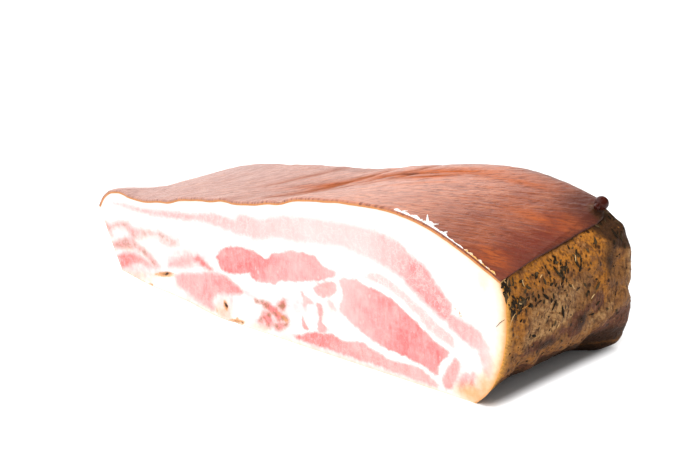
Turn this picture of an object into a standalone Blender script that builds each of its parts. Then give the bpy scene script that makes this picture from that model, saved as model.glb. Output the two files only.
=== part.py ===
"""Smoked bacon: a slab of smoked pork belly, cut fresh across the front, with a juniper berry on its rind.

The slab lies on its lean side with the rind on top. Everything is in metres. The slab is drawn in its own
frame: x runs along the belly's width and is 0 where the cut face meets the floor under the thick end, y runs
back from the cut face, and z is up from the floor. MIDDLE then puts the middle of the whole under the origin.

The slab starts as a unit cube, sliced into cells. A point (u, v, w) of that cube, with u from the thin end to
the thick one, v from the floor to the rind and w from the cut face to the back, is moved to its place on the
slab by slab_points. Herbs, fat shreds and small dents are then joined to it or cut from it.
"""

import math
import random

import bmesh
import bpy
import numpy as np
from mathutils import Matrix, Vector
from mathutils.bvhtree import BVHTree

# Driving dimensions
TIP = 0.227  # from the near lower corner to the thin end's tip
RIND_CORNER = 0.010  # how far the rind's corner stands out past the near lower corner
WIDTH = TIP + RIND_CORNER
HEIGHT = 0.072  # the rind's highest point on the cut face
DEPTH = 0.090
FOOT = 0.212  # length of the lower edge
MIDDLE = Vector((-0.1037, 0.0460, 0.0))

# Rind line on the cut face: (part of WIDTH from the tip, part of HEIGHT)
RIND_LINE = (
    (0.0, 0.528), (0.010, 0.584), (0.026, 0.636), (0.060, 0.660), (0.139, 0.654), (0.236, 0.722),
    (0.300, 0.768), (0.367, 0.797), (0.452, 0.836), (0.511, 0.888), (0.557, 0.928), (0.684, 0.986),
    (0.768, 0.997), (0.852, 0.953), (0.916, 0.878), (1.0, 0.754),
)
# How much higher the rind is at the back: (part of WIDTH, part of HEIGHT)
RIND_RISE = (
    (0.0, -0.100), (0.052, -0.070), (0.140, 0.012), (0.227, -0.006), (0.310, -0.022), (0.420, -0.024),
    (0.537, -0.042), (0.616, -0.036), (0.707, -0.007), (0.773, 0.018), (0.843, 0.060), (0.904, 0.108),
    (0.959, 0.150), (1.0, 0.174),
)
# Lower edge: (part of FOOT from the thin end, height). It is flat from 0.34 on.
FLOOR_LINE = ((0.0, 0.0080), (0.08, 0.0054), (0.22, 0.0030), (0.29, 0.0008), (0.34, 0.0), (1.0, 0.0))
# Thin end: (part of its height, how far it stands out past FOOT)
THIN_END = ((0.0, 0.0), (0.25, 0.0040), (0.70, 0.0105), (0.90, 0.0135), (1.0, TIP - FOOT))
# Thick end at the cut and at the back: (part of its height, x)
THICK_END = (
    (0.0, 0.0), (0.09, 0.0050), (0.19, 0.0083), (0.35, 0.0116), (0.55, 0.0134), (0.72, 0.0134),
    (0.90, 0.0120), (1.0, RIND_CORNER),
)
THICK_END_BACK = (
    (0.0, 0.0085), (0.05, 0.0138), (0.10, 0.0164), (0.20, 0.0180), (0.35, 0.0193), (0.52, 0.0191),
    (0.68, 0.0180), (0.86, 0.0138), (1.0, 0.0020),
)
# Hollow under the thick end: (distance back from the cut, how far the lower edge draws in)
UNDERCUT = (
    (0.0, 0.0), (0.007, 0.0042), (0.018, 0.0080), (0.040, 0.0114), (0.058, 0.0126), (0.072, 0.0116),
    (0.080, 0.0035), (0.084, 0.0005), (DEPTH, 0.0),
)
UNDERCUT_HEIGHT = 0.19  # part of the thick end's height

RISE_DEPTH = 0.083  # where the rind reaches its height at the back
RISE_POWER = 1.25  # its rise at the thick end starts slowly
RISE_MOST = 1.05  # and it goes on a little past RISE_DEPTH
THIN_DROP_DEPTH = 0.034  # the thin end has dropped by here
DROP_TO_RISE = (0.49, 0.71)  # parts of WIDTH between which the drop gives way to the rise
BACK_ROUND = 0.012  # depth of the round back edges
BACK_ROUND_SIDE = 0.014  # how far they draw in at the two ends
BACK_ROUND_HEIGHT = 0.0085  # and at the rind and the floor
BACK_ROUND_START = 0.80  # part of w before the round
BACK_ROUND_TURN = math.radians(86)
BACK_ROUND_SHAPED = 0.4  # the section changes up to this part of the round
BACK_BULGE = 0.0022
HALF_WIDTH = 0.123
LEAST_HALF_HEIGHT = 0.015
RIND_LIP = 0.0007  # the rind stands out past the fat under it at the thick end

# Cells of the unit cube
TIP_CELLS = (0.006, 0.016, 0.032, 0.052, 0.076)
CELLS_ALONG = 39
CELLS_UP = 12
CELLS_BACK = 17
ROUND_CELLS = 5
LIP_CELLS = (0.955, 0.972)

# Creases in the rind: (x, y) of both ends, depth, half width
CREASES = (
    ((-0.126, 0.010), (-0.106, 0.076), 0.0013, 0.0030),
    ((-0.116, 0.006), (-0.110, 0.050), 0.0008, 0.0022),
    ((-0.104, 0.030), (-0.082, 0.080), 0.0010, 0.0028),
    ((-0.092, 0.034), (-0.072, 0.072), 0.0006, 0.0022),
    ((-0.150, 0.030), (-0.138, 0.078), 0.0006, 0.0030),
)
CREASE_FADE = (-0.15, 0.25)  # a crease grows from past its end to this part of its length
# Waves of the rind's front edge: (wave length, height, phase)
EDGE_WAVES = ((0.0235, 0.00035, 1.9), (0.0140, 0.00020, 2.6))
EDGE_WAVES_DEPTH = 0.030  # they die down by here
EDGE_WAVES_LOST = 0.75  # by this much
EDGE_WAVES_END = (-0.100, -0.060)  # and end between these x
# Lumps of the smoked sides: (waves per metre along x, y and z, height, phase), and two waves that bend them
LUMPS = (
    ((15.0, 33.0, 24.0), 0.00055, 0.6),
    ((34.0, 52.0, -47.0), 0.00034, 2.1),
    ((-52.0, 60.0, 71.0), 0.00022, 4.0),
)
LUMP_BENDS = (((17.0, 11.0, 19.0), 1.3, 1.0), ((-13.0, 23.0, 29.0), 0.9, 2.0))
# The lumps grow between these depths behind the cut, heights above the floor and parts v below the rind
LUMPS_BEHIND = (0.002, 0.010)
LUMPS_ABOVE = (0.003, 0.009)
LUMPS_BELOW = (0.85, 0.955)

# Dents in the cut face: (x, z) of the middle, (half length, half height, depth), turn
DENTS = (
    ((-0.1815, 0.0134), (0.0085, 0.0014, 0.0045), math.radians(11)),
    ((-0.1410, 0.0068), (0.0013, 0.0017, 0.0030), 0.0),
    ((-0.1345, 0.0006), (0.0050, 0.0010, 0.0035), math.radians(9)),
)

# Herbs on the smoked thick end. A leaf is (part of depth w, part of height v, length, turn)
BIG_LEAVES = (
    (0.085, 0.79, 0.0046, 1.2), (0.125, 0.92, 0.0030, 0.2), (0.150, 0.86, 0.0034, 2.5),
    (0.255, 0.84, 0.0034, 1.9), (0.345, 0.84, 0.0060, 2.2), (0.370, 0.80, 0.0044, 1.7),
    (0.480, 0.84, 0.0064, 1.9), (0.500, 0.78, 0.0040, 1.4), (0.245, 0.74, 0.0042, 2.3),
    (0.350, 0.57, 0.0054, 1.6), (0.300, 0.66, 0.0036, 1.1), (0.600, 0.61, 0.0044, 0.7),
    (0.640, 0.88, 0.0040, 1.2), (0.700, 0.94, 0.0050, 2.0), (0.760, 0.86, 0.0058, 1.4),
    (0.600, 0.49, 0.0034, 0.3), (0.185, 0.48, 0.0032, 2.8), (0.520, 0.66, 0.0030, 2.4),
)
# Clumps of leaves: (w, v) of the middle, (half length along w, along v), number of leaves
CLUMPS = (((0.022, 0.93), (0.020, 0.060), 8), ((0.080, 0.755), (0.050, 0.045), 9))
CLUMP_LEAF = (0.0028, 0.0050)  # shortest and longest
LEAF_WIDTH = 0.0011  # of a leaf a little under 2 mm long
LEAF_WIDTH_GROWTH = (0.8, 120.0)  # its width is LEAF_WIDTH times the first plus the second times its length
LEAF_THICKNESS = 0.0006
LEAF_LIFT = 0.15  # part of the thickness
SMALL_LEAF = (0.0016, 0.0030)  # shortest and longest
SMALL_LEAF_ALONG = (0.08, 0.92)  # where they lie, as parts of the side's length
SMALL_LEAF_UP = (0.25, 0.90)  # and of its height
SMALL_LEAVES_REACH = 0.8  # part of the thick end's depth that has them
SMALL_LEAVES_THICK_END = 22
SMALL_LEAVES_BACK = 26
SMALL_LEAVES_THIN_END = 5
HERB_SEED = 31

# Shreds of white fat along the rind's front edge: (part of width u, distance back, length, turn)
SHREDS = (
    (0.785, 0.0010, 0.0060, 0.1), (0.822, 0.0012, 0.0058, -0.2), (0.842, 0.0030, 0.0040, 1.4),
    (0.862, 0.0012, 0.0052, -0.2), (0.884, 0.0016, 0.0050, -0.5), (0.925, 0.0009, 0.0070, 0.1),
)
SHRED_WIDTH = 0.0011

BERRY_SPOT = (0.999, 0.985, 0.776)  # (u, v, w)
BERRY_LIFT = Vector((0.55, 0.0, 0.83))  # the way the berry stands out from there
BERRY_RADIUS = 0.0031
BERRY_SQUASH = (1.0, 0.94, 0.97)
BERRY_LOBE = 0.0014
BERRY_LOBE_SIDE = Vector((-0.14, -0.93, -0.33))  # the side on which the lobe sits
BERRY_LOBE_REACH = 0.98  # its middle, in radii
GAP = 0.0003
GAP_STEP = 0.0001

RIND_COLOUR = (0.33, 0.11, 0.055, 1.0)
CUT_COLOUR = (0.90, 0.62, 0.55, 1.0)
SMOKED_COLOUR = (0.30, 0.16, 0.055, 1.0)
BERRY_COLOUR = (0.055, 0.012, 0.010, 1.0)
RIND, CUT, SMOKED = range(3)


def clear_scene():
    for thing in list(bpy.data.objects):
        bpy.data.objects.remove(thing, do_unlink=True)


def material(name, colour, roughness):
    """A plain Principled material."""
    made = bpy.data.materials.new(name)
    made.use_nodes = True
    shader = made.node_tree.nodes["Principled BSDF"]
    shader.inputs["Base Color"].default_value = colour
    shader.inputs["Roughness"].default_value = roughness
    shader.inputs["Metallic"].default_value = 0.0
    return made


def smooth_line(stations, at):
    """Cubic curve through (position, value) stations, with the mean slope of its neighbours at each."""
    place, value = np.array(stations, float).T
    slope = np.gradient(value, place)
    at = np.clip(at, place[0], place[-1])
    i = np.clip(np.searchsorted(place, at, side="right") - 1, 0, len(place) - 2)
    span = place[i + 1] - place[i]
    t = (at - place[i]) / span
    start = (2 * t**3 - 3 * t**2 + 1) * value[i] + (t**3 - 2 * t**2 + t) * span * slope[i]
    return start + (3 * t**2 - 2 * t**3) * value[i + 1] + (t**3 - t**2) * span * slope[i + 1]


def ease(low, high, at):
    """0 below low, 1 above high, with a soft start and end between them."""
    t = np.clip((at - low) / (high - low), 0.0, 1.0)
    return t * t * (3.0 - 2.0 * t)


def rind_height(u, y):
    """Height of the rind u along the width at depth y: the front line, plus a rise that grows to the back."""
    fast = ease(0.0, THIN_DROP_DEPTH, y)
    slow = np.clip(y / RISE_DEPTH, 0.0, RISE_MOST) ** RISE_POWER
    share = ease(*DROP_TO_RISE, u)
    grown = fast * (1.0 - share) + slow * share
    return HEIGHT * (smooth_line(RIND_LINE, u) + smooth_line(RIND_RISE, u) * grown)


def thick_end(v, y):
    """x of the thick end, v of the way up at depth y: its two outlines blended, with the hollow and lip."""
    back = np.clip(y / RISE_DEPTH, 0.0, RISE_MOST)
    plain = smooth_line(THICK_END, v) * (1.0 - back) + smooth_line(THICK_END_BACK, v) * back
    hollow = smooth_line(UNDERCUT, y) * np.exp(-((v / UNDERCUT_HEIGHT) ** 2))
    return plain - hollow + RIND_LIP * ease(*LIP_CELLS, v)


def section(u, v, y):
    """Coons patch of the section at depth y: lower edge, rind, thin end and thick end, blended by u and v."""
    low, high = np.zeros_like(u), np.ones_like(u)
    corner_x = {
        (0, 0): -FOOT + low,
        (0, 1): -TIP + low,
        (1, 0): thick_end(low, y),
        (1, 1): thick_end(high, y),
    }
    corner_z = {
        (0, 0): smooth_line(FLOOR_LINE, low),
        (0, 1): rind_height(low, y),
        (1, 0): smooth_line(FLOOR_LINE, high),
        (1, 1): rind_height(high, y),
    }
    floor_z = np.maximum(smooth_line(FLOOR_LINE, u), 0.0)
    floor_x = corner_x[0, 0] * (1 - u) + corner_x[1, 0] * u
    rind_x = corner_x[0, 1] * (1 - u) + corner_x[1, 1] * u
    thin_z = corner_z[0, 0] * (1 - v) + corner_z[0, 1] * v
    thick_z = corner_z[1, 0] * (1 - v) + corner_z[1, 1] * v

    def blend(floor, rind, thin, thick, corner):
        edges = (1 - v) * floor + v * rind + (1 - u) * thin + u * thick
        return edges - (
            (1 - u) * (1 - v) * corner[0, 0]
            + u * (1 - v) * corner[1, 0]
            + (1 - u) * v * corner[0, 1]
            + u * v * corner[1, 1]
        )

    x = blend(floor_x, rind_x, -FOOT - smooth_line(THIN_END, v), thick_end(v, y), corner_x)
    z = blend(floor_z, rind_height(u, y), thin_z, thick_z, corner_z)
    return x, z


def slab_points(u, v, w):
    """Place on the smooth slab of each point (u, v, w) of the unit cube, as an array of rows x, y, z.

    Up to BACK_ROUND_START the section is carried straight back. After it, the depth follows a sine and the
    section draws in by one minus a cosine, which rounds the edges of the back."""
    turn = np.clip((w - BACK_ROUND_START) / (1.0 - BACK_ROUND_START), 0.0, 1.0) * BACK_ROUND_TURN
    straight = DEPTH - BACK_ROUND
    y = np.minimum(w / BACK_ROUND_START, 1.0) * straight + BACK_ROUND * np.sin(turn)
    drawn_in = 1.0 - np.cos(turn)
    shape_y = np.minimum(y, straight + BACK_ROUND_SHAPED * BACK_ROUND)
    x, z = section(u, v, shape_y)
    x += (MIDDLE.x - x) / HALF_WIDTH * BACK_ROUND_SIDE * drawn_in
    middle_z = section(u, np.full_like(v, 0.5), shape_y)[1]
    half = np.maximum(middle_z - section(u, np.zeros_like(v), shape_y)[1], LEAST_HALF_HEIGHT)
    z += (middle_z - z) / half * BACK_ROUND_HEIGHT * drawn_in
    bulge = (1.0 - (2.0 * u - 1.0) ** 2) * (1.0 - (2.0 * v - 1.0) ** 2)
    y += BACK_BULGE * bulge * (w > 1.0 - 1e-6)
    return np.stack([x, y, z], axis=-1)


def crease_depth(x, y):
    """Depth of the creases at (x, y): for each, a bell across its line that fades out at both ends."""
    total = np.zeros_like(x)
    for (x0, y0), (x1, y1), depth, half_width in CREASES:
        length = math.hypot(x1 - x0, y1 - y0)
        along = ((x - x0) * (x1 - x0) + (y - y0) * (y1 - y0)) / length**2
        across = ((x - x0) * (y1 - y0) - (y - y0) * (x1 - x0)) / length
        faded = ease(*CREASE_FADE, along) * ease(*CREASE_FADE, 1.0 - along)
        total += depth * np.exp(-((across / half_width) ** 2)) * faded
    return total


def edge_waves(x, y):
    """Waves along the rind's front edge: sines along x that die down behind it and end at the thick end."""
    waves = sum(h * np.sin(2.0 * math.pi * x / length + phase) for length, h, phase in EDGE_WAVES)
    behind = 1.0 - EDGE_WAVES_LOST * ease(0.0, EDGE_WAVES_DEPTH, y)
    return waves * behind * (1.0 - ease(*EDGE_WAVES_END, x))


def slanted_sines(waves, x, y, z, bend=0.0):
    """Sum of sines, each along its own slanted direction, with bend added to their phases."""
    turn = 2.0 * math.pi
    return sum(h * np.sin(turn * (a * x + b * y + c * z) + phase + bend) for (a, b, c), h, phase in waves)


def lumps(x, y, z):
    """Lumps of the smoked sides: slanted sines whose phases are bent by slower ones."""
    return slanted_sines(LUMPS, x, y, z, slanted_sines(LUMP_BENDS, x, y, z))


def surface_point(u, v, w):
    """One point of the smooth slab, as a Vector."""
    return Vector(slab_points(np.array([u]), np.array([v]), np.array([w]))[0])


def frame_on(tree, spot, along):
    """The slab's own point nearest to the smooth one at (u, v, w), its normal, and two tangents, the first
    of them as near to the direction along as the surface allows."""
    here, normal, _, _ = tree.find_nearest(surface_point(*spot) - MIDDLE)
    first = (along - normal * along.dot(normal)).normalized()
    return here, normal, first, normal.cross(first)


def stations():
    """Where the unit cube is sliced, along each of its axes."""
    along = list(TIP_CELLS) + list(np.linspace(0.1, 1.0, CELLS_ALONG)[:-1])
    up = list(np.linspace(0.0, 0.93, CELLS_UP)[1:]) + list(LIP_CELLS)
    back = list(np.linspace(0.0, BACK_ROUND_START, CELLS_BACK)[1:])
    back += list(np.linspace(BACK_ROUND_START, 1.0, ROUND_CELLS + 1)[1:-1])
    return along, back, up


def belly_mesh():
    """The slab: a sliced unit cube moved to its place, with creases and lumps, and a material a side."""
    bm = bmesh.new()
    bmesh.ops.create_cube(bm, size=1.0, matrix=Matrix.Translation((0.5, 0.5, 0.5)))
    for axis, places in enumerate(stations()):
        across = Vector((0.0, 0.0, 0.0))
        across[axis] = 1.0
        for place in places:
            everything = bm.verts[:] + bm.edges[:] + bm.faces[:]
            bmesh.ops.bisect_plane(bm, geom=everything, plane_co=across * place, plane_no=across)
    for face in bm.faces:
        middle = face.calc_center_median()
        face.material_index = RIND if middle.z > 0.9999 else CUT if middle.y < 0.0001 else SMOKED
        face.smooth = True
    cube = np.array([vert.co for vert in bm.verts])
    u, w, v = cube.T
    place = slab_points(u, v, w)
    for vert, point in zip(bm.verts, place):
        vert.co = point
    bm.normal_update()
    x, y, z = place.T
    on_rind = v > 1.0 - 1e-6
    smoked = ease(*LUMPS_BEHIND, y) * ease(*LUMPS_ABOVE, z) * (1.0 - ease(*LUMPS_BELOW, v))
    sunk = np.where(on_rind, crease_depth(x, y) - edge_waves(x, y), 0.0)
    raised = np.where(on_rind, 0.0, lumps(x, y, z) * smoked)
    for vert, down, out in zip(bm.verts, sunk, raised):
        vert.co += vert.normal * float(out) - Vector((0.0, 0.0, float(down)))
    mesh = bpy.data.meshes.new("bacon_slab")
    bmesh.ops.translate(bm, verts=bm.verts, vec=-MIDDLE)
    bm.to_mesh(mesh)
    bm.free()
    return mesh


def add_solid(bm, name, collection):
    """Turns a bmesh into an object of its own in the collection."""
    mesh = bpy.data.meshes.new(name)
    bm.to_mesh(mesh)
    bm.free()
    thing = bpy.data.objects.new(name, mesh)
    collection.objects.link(thing)
    return thing


def leaf(collection, frame, size, turn, lift):
    """A leaf or shred: an icosphere pressed flat, laid on the surface, turned in it and half sunk."""
    here, normal, first, second = frame
    length, width, thickness = size
    direction = first * math.cos(turn) + second * math.sin(turn)
    axes = Matrix((direction, normal.cross(direction), normal)).transposed().to_4x4()
    bm = bmesh.new()
    bmesh.ops.create_icosphere(bm, subdivisions=1, radius=1.0)
    squash = Matrix.Diagonal((length / 2, width / 2, thickness, 1.0))
    place = Matrix.Translation(here + normal * lift)
    bmesh.ops.transform(bm, matrix=place @ axes @ squash, verts=bm.verts)
    add_solid(bm, "leaf", collection)


def herb_spots():
    """Every herb leaf: (side, first part, second part, length, turn). One seeded draw serves all sides."""
    draw = random.Random(HERB_SEED)
    spots = [("thick", w, v, length, turn) for w, v, length, turn in BIG_LEAVES]
    for (w, v), (half_w, half_v), count in CLUMPS:
        for _ in range(count):
            spot = (w + half_w * draw.uniform(-1, 1), v + half_v * draw.uniform(-1, 1))
            spots.append(("thick", *spot, draw.uniform(*CLUMP_LEAF), draw.uniform(0.0, math.pi)))
    for side, count in (
        ("thick", SMALL_LEAVES_THICK_END),
        ("back", SMALL_LEAVES_BACK),
        ("thin", SMALL_LEAVES_THIN_END),
    ):
        for _ in range(count):
            along, up = draw.uniform(*SMALL_LEAF_ALONG), draw.uniform(*SMALL_LEAF_UP)
            if side == "thick":
                along *= SMALL_LEAVES_REACH
            spots.append((side, along, up, draw.uniform(*SMALL_LEAF), draw.uniform(0.0, math.pi)))
    return spots


def add_herbs(collection, tree):
    backward, sideways = Vector((0.0, 1.0, 0.0)), Vector((1.0, 0.0, 0.0))
    for side, first, second, length, turn in herb_spots():
        if side == "thick":
            frame = frame_on(tree, (1.0, second, first), backward)
        elif side == "back":
            frame = frame_on(tree, (first, second, 1.0), sideways)
        else:
            frame = frame_on(tree, (0.0, second, first * BACK_ROUND_START), backward)
        width = LEAF_WIDTH * (LEAF_WIDTH_GROWTH[0] + LEAF_WIDTH_GROWTH[1] * length)
        leaf(collection, frame, (length, width, LEAF_THICKNESS), turn, LEAF_LIFT * LEAF_THICKNESS)


def add_shreds(collection, tree):
    for u, back, length, turn in SHREDS:
        w = back / (DEPTH - BACK_ROUND) * BACK_ROUND_START
        frame = frame_on(tree, (u, 1.0, w), Vector((1.0, 0.0, 0.0)))
        leaf(collection, frame, (length, SHRED_WIDTH, LEAF_THICKNESS), turn, 0.0)


def add_dents(collection, _tree):
    """Cutters for the small dents: squashed icospheres whose middles lie in the cut face."""
    for (x, z), (half_length, half_height, depth), turn in DENTS:
        bm = bmesh.new()
        bmesh.ops.create_icosphere(bm, subdivisions=2, radius=1.0)
        place = Matrix.Translation(Vector((x, 0.0, z)) - MIDDLE) @ Matrix.Rotation(-turn, 4, "Y")
        bmesh.ops.transform(
            bm, matrix=place @ Matrix.Diagonal((half_length, depth, half_height, 1.0)), verts=bm.verts
        )
        add_solid(bm, "dent", collection)


def tree_of(thing):
    return BVHTree.FromObject(thing, bpy.context.evaluated_depsgraph_get())


def join_or_cut(thing, operation, *fills):
    """Applies one Boolean of everything that the fills put in a collection, then removes those objects."""
    collection = bpy.data.collections.new(operation)
    bpy.context.scene.collection.children.link(collection)
    tree = tree_of(thing)
    for fill in fills:
        fill(collection, tree)
    boolean = thing.modifiers.new(operation, "BOOLEAN")
    boolean.operation = operation
    boolean.operand_type = "COLLECTION"
    boolean.collection = collection
    boolean.solver = "EXACT"
    evaluated = thing.evaluated_get(bpy.context.evaluated_depsgraph_get())
    whole = bpy.data.meshes.new_from_object(evaluated)
    thing.modifiers.clear()
    thing.data = whole
    for helper in list(collection.objects):
        bpy.data.objects.remove(helper, do_unlink=True)
    bpy.data.collections.remove(collection)


def make_slab():
    slab = bpy.data.objects.new("bacon_slab", belly_mesh())
    for made in (
        material("rind", RIND_COLOUR, 0.55),
        material("cut_meat", CUT_COLOUR, 0.45),
        material("smoked_side", SMOKED_COLOUR, 0.60),
    ):
        slab.data.materials.append(made)
    bpy.context.scene.collection.objects.link(slab)
    join_or_cut(slab, "DIFFERENCE", add_dents)
    join_or_cut(slab, "UNION", add_herbs, add_shreds)
    return slab


def make_berry(slab):
    """The berry: a slightly long ball with a small lobe at its side, GAP clear of the slab."""
    bm = bmesh.new()
    bmesh.ops.create_uvsphere(bm, u_segments=14, v_segments=9, radius=BERRY_RADIUS)
    bmesh.ops.scale(bm, vec=BERRY_SQUASH, verts=bm.verts)
    berry = add_solid(bm, "juniper_berry", bpy.context.scene.collection)
    berry.data.materials.append(material("berry", BERRY_COLOUR, 0.25))
    berry.data.shade_smooth()

    def add_lobe(collection, _tree):
        lobe = bmesh.new()
        beside = BERRY_LOBE_SIDE.normalized() * BERRY_RADIUS * BERRY_LOBE_REACH
        bmesh.ops.create_icosphere(lobe, subdivisions=2, radius=BERRY_LOBE, matrix=Matrix.Translation(beside))
        add_solid(lobe, "lobe", collection)

    join_or_cut(berry, "UNION", add_lobe)
    tree = tree_of(slab)
    here = surface_point(*BERRY_SPOT) - MIDDLE
    away = BERRY_LIFT.normalized()
    reach = BERRY_RADIUS
    points = [vert.co.copy() for vert in berry.data.vertices]
    while min(clearance(tree, here + away * reach + point) for point in points) < GAP:
        reach += GAP_STEP
    berry.data.transform(Matrix.Translation(here + away * reach))
    return berry


def clearance(tree, point):
    """Distance from the point to the slab, negative inside it."""
    near, normal, _, distance = tree.find_nearest(point)
    return distance if (point - near).dot(normal) > 0 else -distance


clear_scene()
slab = make_slab()
make_berry(slab)
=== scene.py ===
"""Smoked bacon: the finish of a slab of smoked pork belly with its cut, rind, herbs and juniper berry.

Everything is in metres, except the outlines of the lean and the tints, which are in millimetres and turned to
metres by MM. As in the solids, the slab is drawn in its own frame: x is 0 where the cut face meets the floor
under the thick end, y runs back from the cut face and z is up. SHIFT takes it to the frame of the solids.

A point of the slab is named by (u, w, v), each from 0 to 1: u from the thin end to the thick one, w from the
cut face to the back and v from the floor to the rind.
"""

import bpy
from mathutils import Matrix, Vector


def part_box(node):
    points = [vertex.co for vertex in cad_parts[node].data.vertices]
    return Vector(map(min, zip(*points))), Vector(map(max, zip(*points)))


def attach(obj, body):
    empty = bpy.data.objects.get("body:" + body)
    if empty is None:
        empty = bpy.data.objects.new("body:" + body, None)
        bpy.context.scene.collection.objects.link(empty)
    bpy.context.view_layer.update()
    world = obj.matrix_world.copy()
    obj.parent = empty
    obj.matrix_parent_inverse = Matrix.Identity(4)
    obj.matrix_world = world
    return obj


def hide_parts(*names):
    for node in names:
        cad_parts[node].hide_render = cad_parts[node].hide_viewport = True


bl_info = {
    "name": "Smoked bacon slab",
    "version": (1, 0, 0),
    "blender": (4, 5, 0),
    "location": "3D View > Sidebar > Bacon",
    "description": "Makes a slab of smoked pork belly with rind, herbs and a juniper berry around its solids",
    "category": "Object",
}

import itertools
import math
import random

import bpy
import numpy as np
from mathutils import Vector
from mathutils.bvhtree import BVHTree

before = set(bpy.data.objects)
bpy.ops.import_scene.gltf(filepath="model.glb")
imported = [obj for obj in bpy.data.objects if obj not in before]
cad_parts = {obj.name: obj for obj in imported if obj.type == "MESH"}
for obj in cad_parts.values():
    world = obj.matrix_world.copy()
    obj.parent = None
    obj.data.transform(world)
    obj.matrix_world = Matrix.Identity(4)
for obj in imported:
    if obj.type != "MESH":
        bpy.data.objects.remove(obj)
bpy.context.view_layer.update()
SLAB_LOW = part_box("bacon_slab")[0]
BERRY_LOW, BERRY_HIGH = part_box("juniper_berry")
MM = 0.001

# ---------------------------------------------------------------- the slab's form, as its solid has it
TIP = 0.227  # from the near lower corner to the thin end's tip
RIND_CORNER = 0.010
HEIGHT = 0.072
DEPTH = 0.090
FOOT = 0.212
HALF_WIDTH = 0.123
SHIFT = np.array([SLAB_LOW.x + TIP, -0.0460, SLAB_LOW.z])

RIND_LINE = (
    (0.0, 0.528), (0.010, 0.584), (0.026, 0.636), (0.060, 0.660), (0.139, 0.654), (0.236, 0.722),
    (0.300, 0.768), (0.367, 0.797), (0.452, 0.836), (0.511, 0.888), (0.557, 0.928), (0.684, 0.986),
    (0.768, 0.997), (0.852, 0.953), (0.916, 0.878), (1.0, 0.754),
)
RIND_RISE = (
    (0.0, -0.100), (0.052, -0.070), (0.140, 0.012), (0.227, -0.006), (0.310, -0.022), (0.420, -0.024),
    (0.537, -0.042), (0.616, -0.036), (0.707, -0.007), (0.773, 0.018), (0.843, 0.060), (0.904, 0.108),
    (0.959, 0.150), (1.0, 0.174),
)
FLOOR_LINE = ((0.0, 0.0080), (0.08, 0.0054), (0.22, 0.0030), (0.29, 0.0008), (0.34, 0.0), (1.0, 0.0))
THIN_END = ((0.0, 0.0), (0.25, 0.0040), (0.70, 0.0105), (0.90, 0.0135), (1.0, TIP - FOOT))
THICK_END = (
    (0.0, 0.0), (0.09, 0.0050), (0.19, 0.0083), (0.35, 0.0116), (0.55, 0.0134), (0.72, 0.0134),
    (0.90, 0.0120), (1.0, RIND_CORNER),
)
THICK_END_BACK = (
    (0.0, 0.0085), (0.05, 0.0138), (0.10, 0.0164), (0.20, 0.0180), (0.35, 0.0193), (0.52, 0.0191),
    (0.68, 0.0180), (0.86, 0.0138), (1.0, 0.0020),
)
UNDERCUT = (
    (0.0, 0.0), (0.007, 0.0042), (0.018, 0.0080), (0.040, 0.0114), (0.058, 0.0126), (0.072, 0.0116),
    (0.080, 0.0035), (0.084, 0.0005), (DEPTH, 0.0),
)
UNDERCUT_HEIGHT = 0.19
RISE_DEPTH = 0.083
RISE_POWER = 1.25
RISE_MOST = 1.05
THIN_DROP_DEPTH = 0.034
DROP_TO_RISE = (0.49, 0.71)
BACK_ROUND = 0.012
BACK_ROUND_SIDE = 0.014
BACK_ROUND_HEIGHT = 0.0085
BACK_ROUND_START = 0.80
BACK_ROUND_TURN = math.radians(86)
BACK_ROUND_SHAPED = 0.4
BACK_BULGE = 0.0022
LEAST_HALF_HEIGHT = 0.015
RIND_LIP = 0.0007
LIP_CELLS = (0.955, 0.972)

# Creases in the rind: (x, y) of both ends, depth, half width
CREASES = (
    ((-0.126, 0.010), (-0.106, 0.076), 0.0013, 0.0030),
    ((-0.116, 0.006), (-0.110, 0.050), 0.0008, 0.0022),
    ((-0.104, 0.030), (-0.082, 0.080), 0.0010, 0.0028),
    ((-0.092, 0.034), (-0.072, 0.072), 0.0006, 0.0022),
    ((-0.150, 0.030), (-0.138, 0.078), 0.0006, 0.0030),
)
CREASE_FADE = (-0.15, 0.25)
EDGE_WAVES = ((0.0235, 0.00035, 1.9), (0.0140, 0.00020, 2.6))
EDGE_WAVES_DEPTH = 0.030
EDGE_WAVES_LOST = 0.75
EDGE_WAVES_END = (-0.100, -0.060)
LUMPS = (
    ((15.0, 33.0, 24.0), 0.00055, 0.6),
    ((34.0, 52.0, -47.0), 0.00034, 2.1),
    ((-52.0, 60.0, 71.0), 0.00022, 4.0),
)
LUMP_BENDS = (((17.0, 11.0, 19.0), 1.3, 1.0), ((-13.0, 23.0, 29.0), 0.9, 2.0))
LUMPS_BEHIND = (0.002, 0.010)
LUMPS_ABOVE = (0.003, 0.009)
LUMPS_BELOW = (0.85, 0.955)
# Dents in the cut face: (x, z) of the middle, (half length, half height, depth), turn
DENTS = (
    ((-0.1815, 0.0134), (0.0085, 0.0014, 0.0045), math.radians(11)),
    ((-0.1410, 0.0068), (0.0013, 0.0017, 0.0030), 0.0),
    ((-0.1345, 0.0006), (0.0050, 0.0010, 0.0035), math.radians(9)),
)

SLIT_OPEN, SLIT_DEPTH = 0.8, 0.35  # their height and depth at the surface, as parts of the solid's
ON_SIDE = 1e-6  # a point is on a side of the slab if its u, w or v is this near 0 or 1
SHARP_EDGE = math.radians(50)

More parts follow.
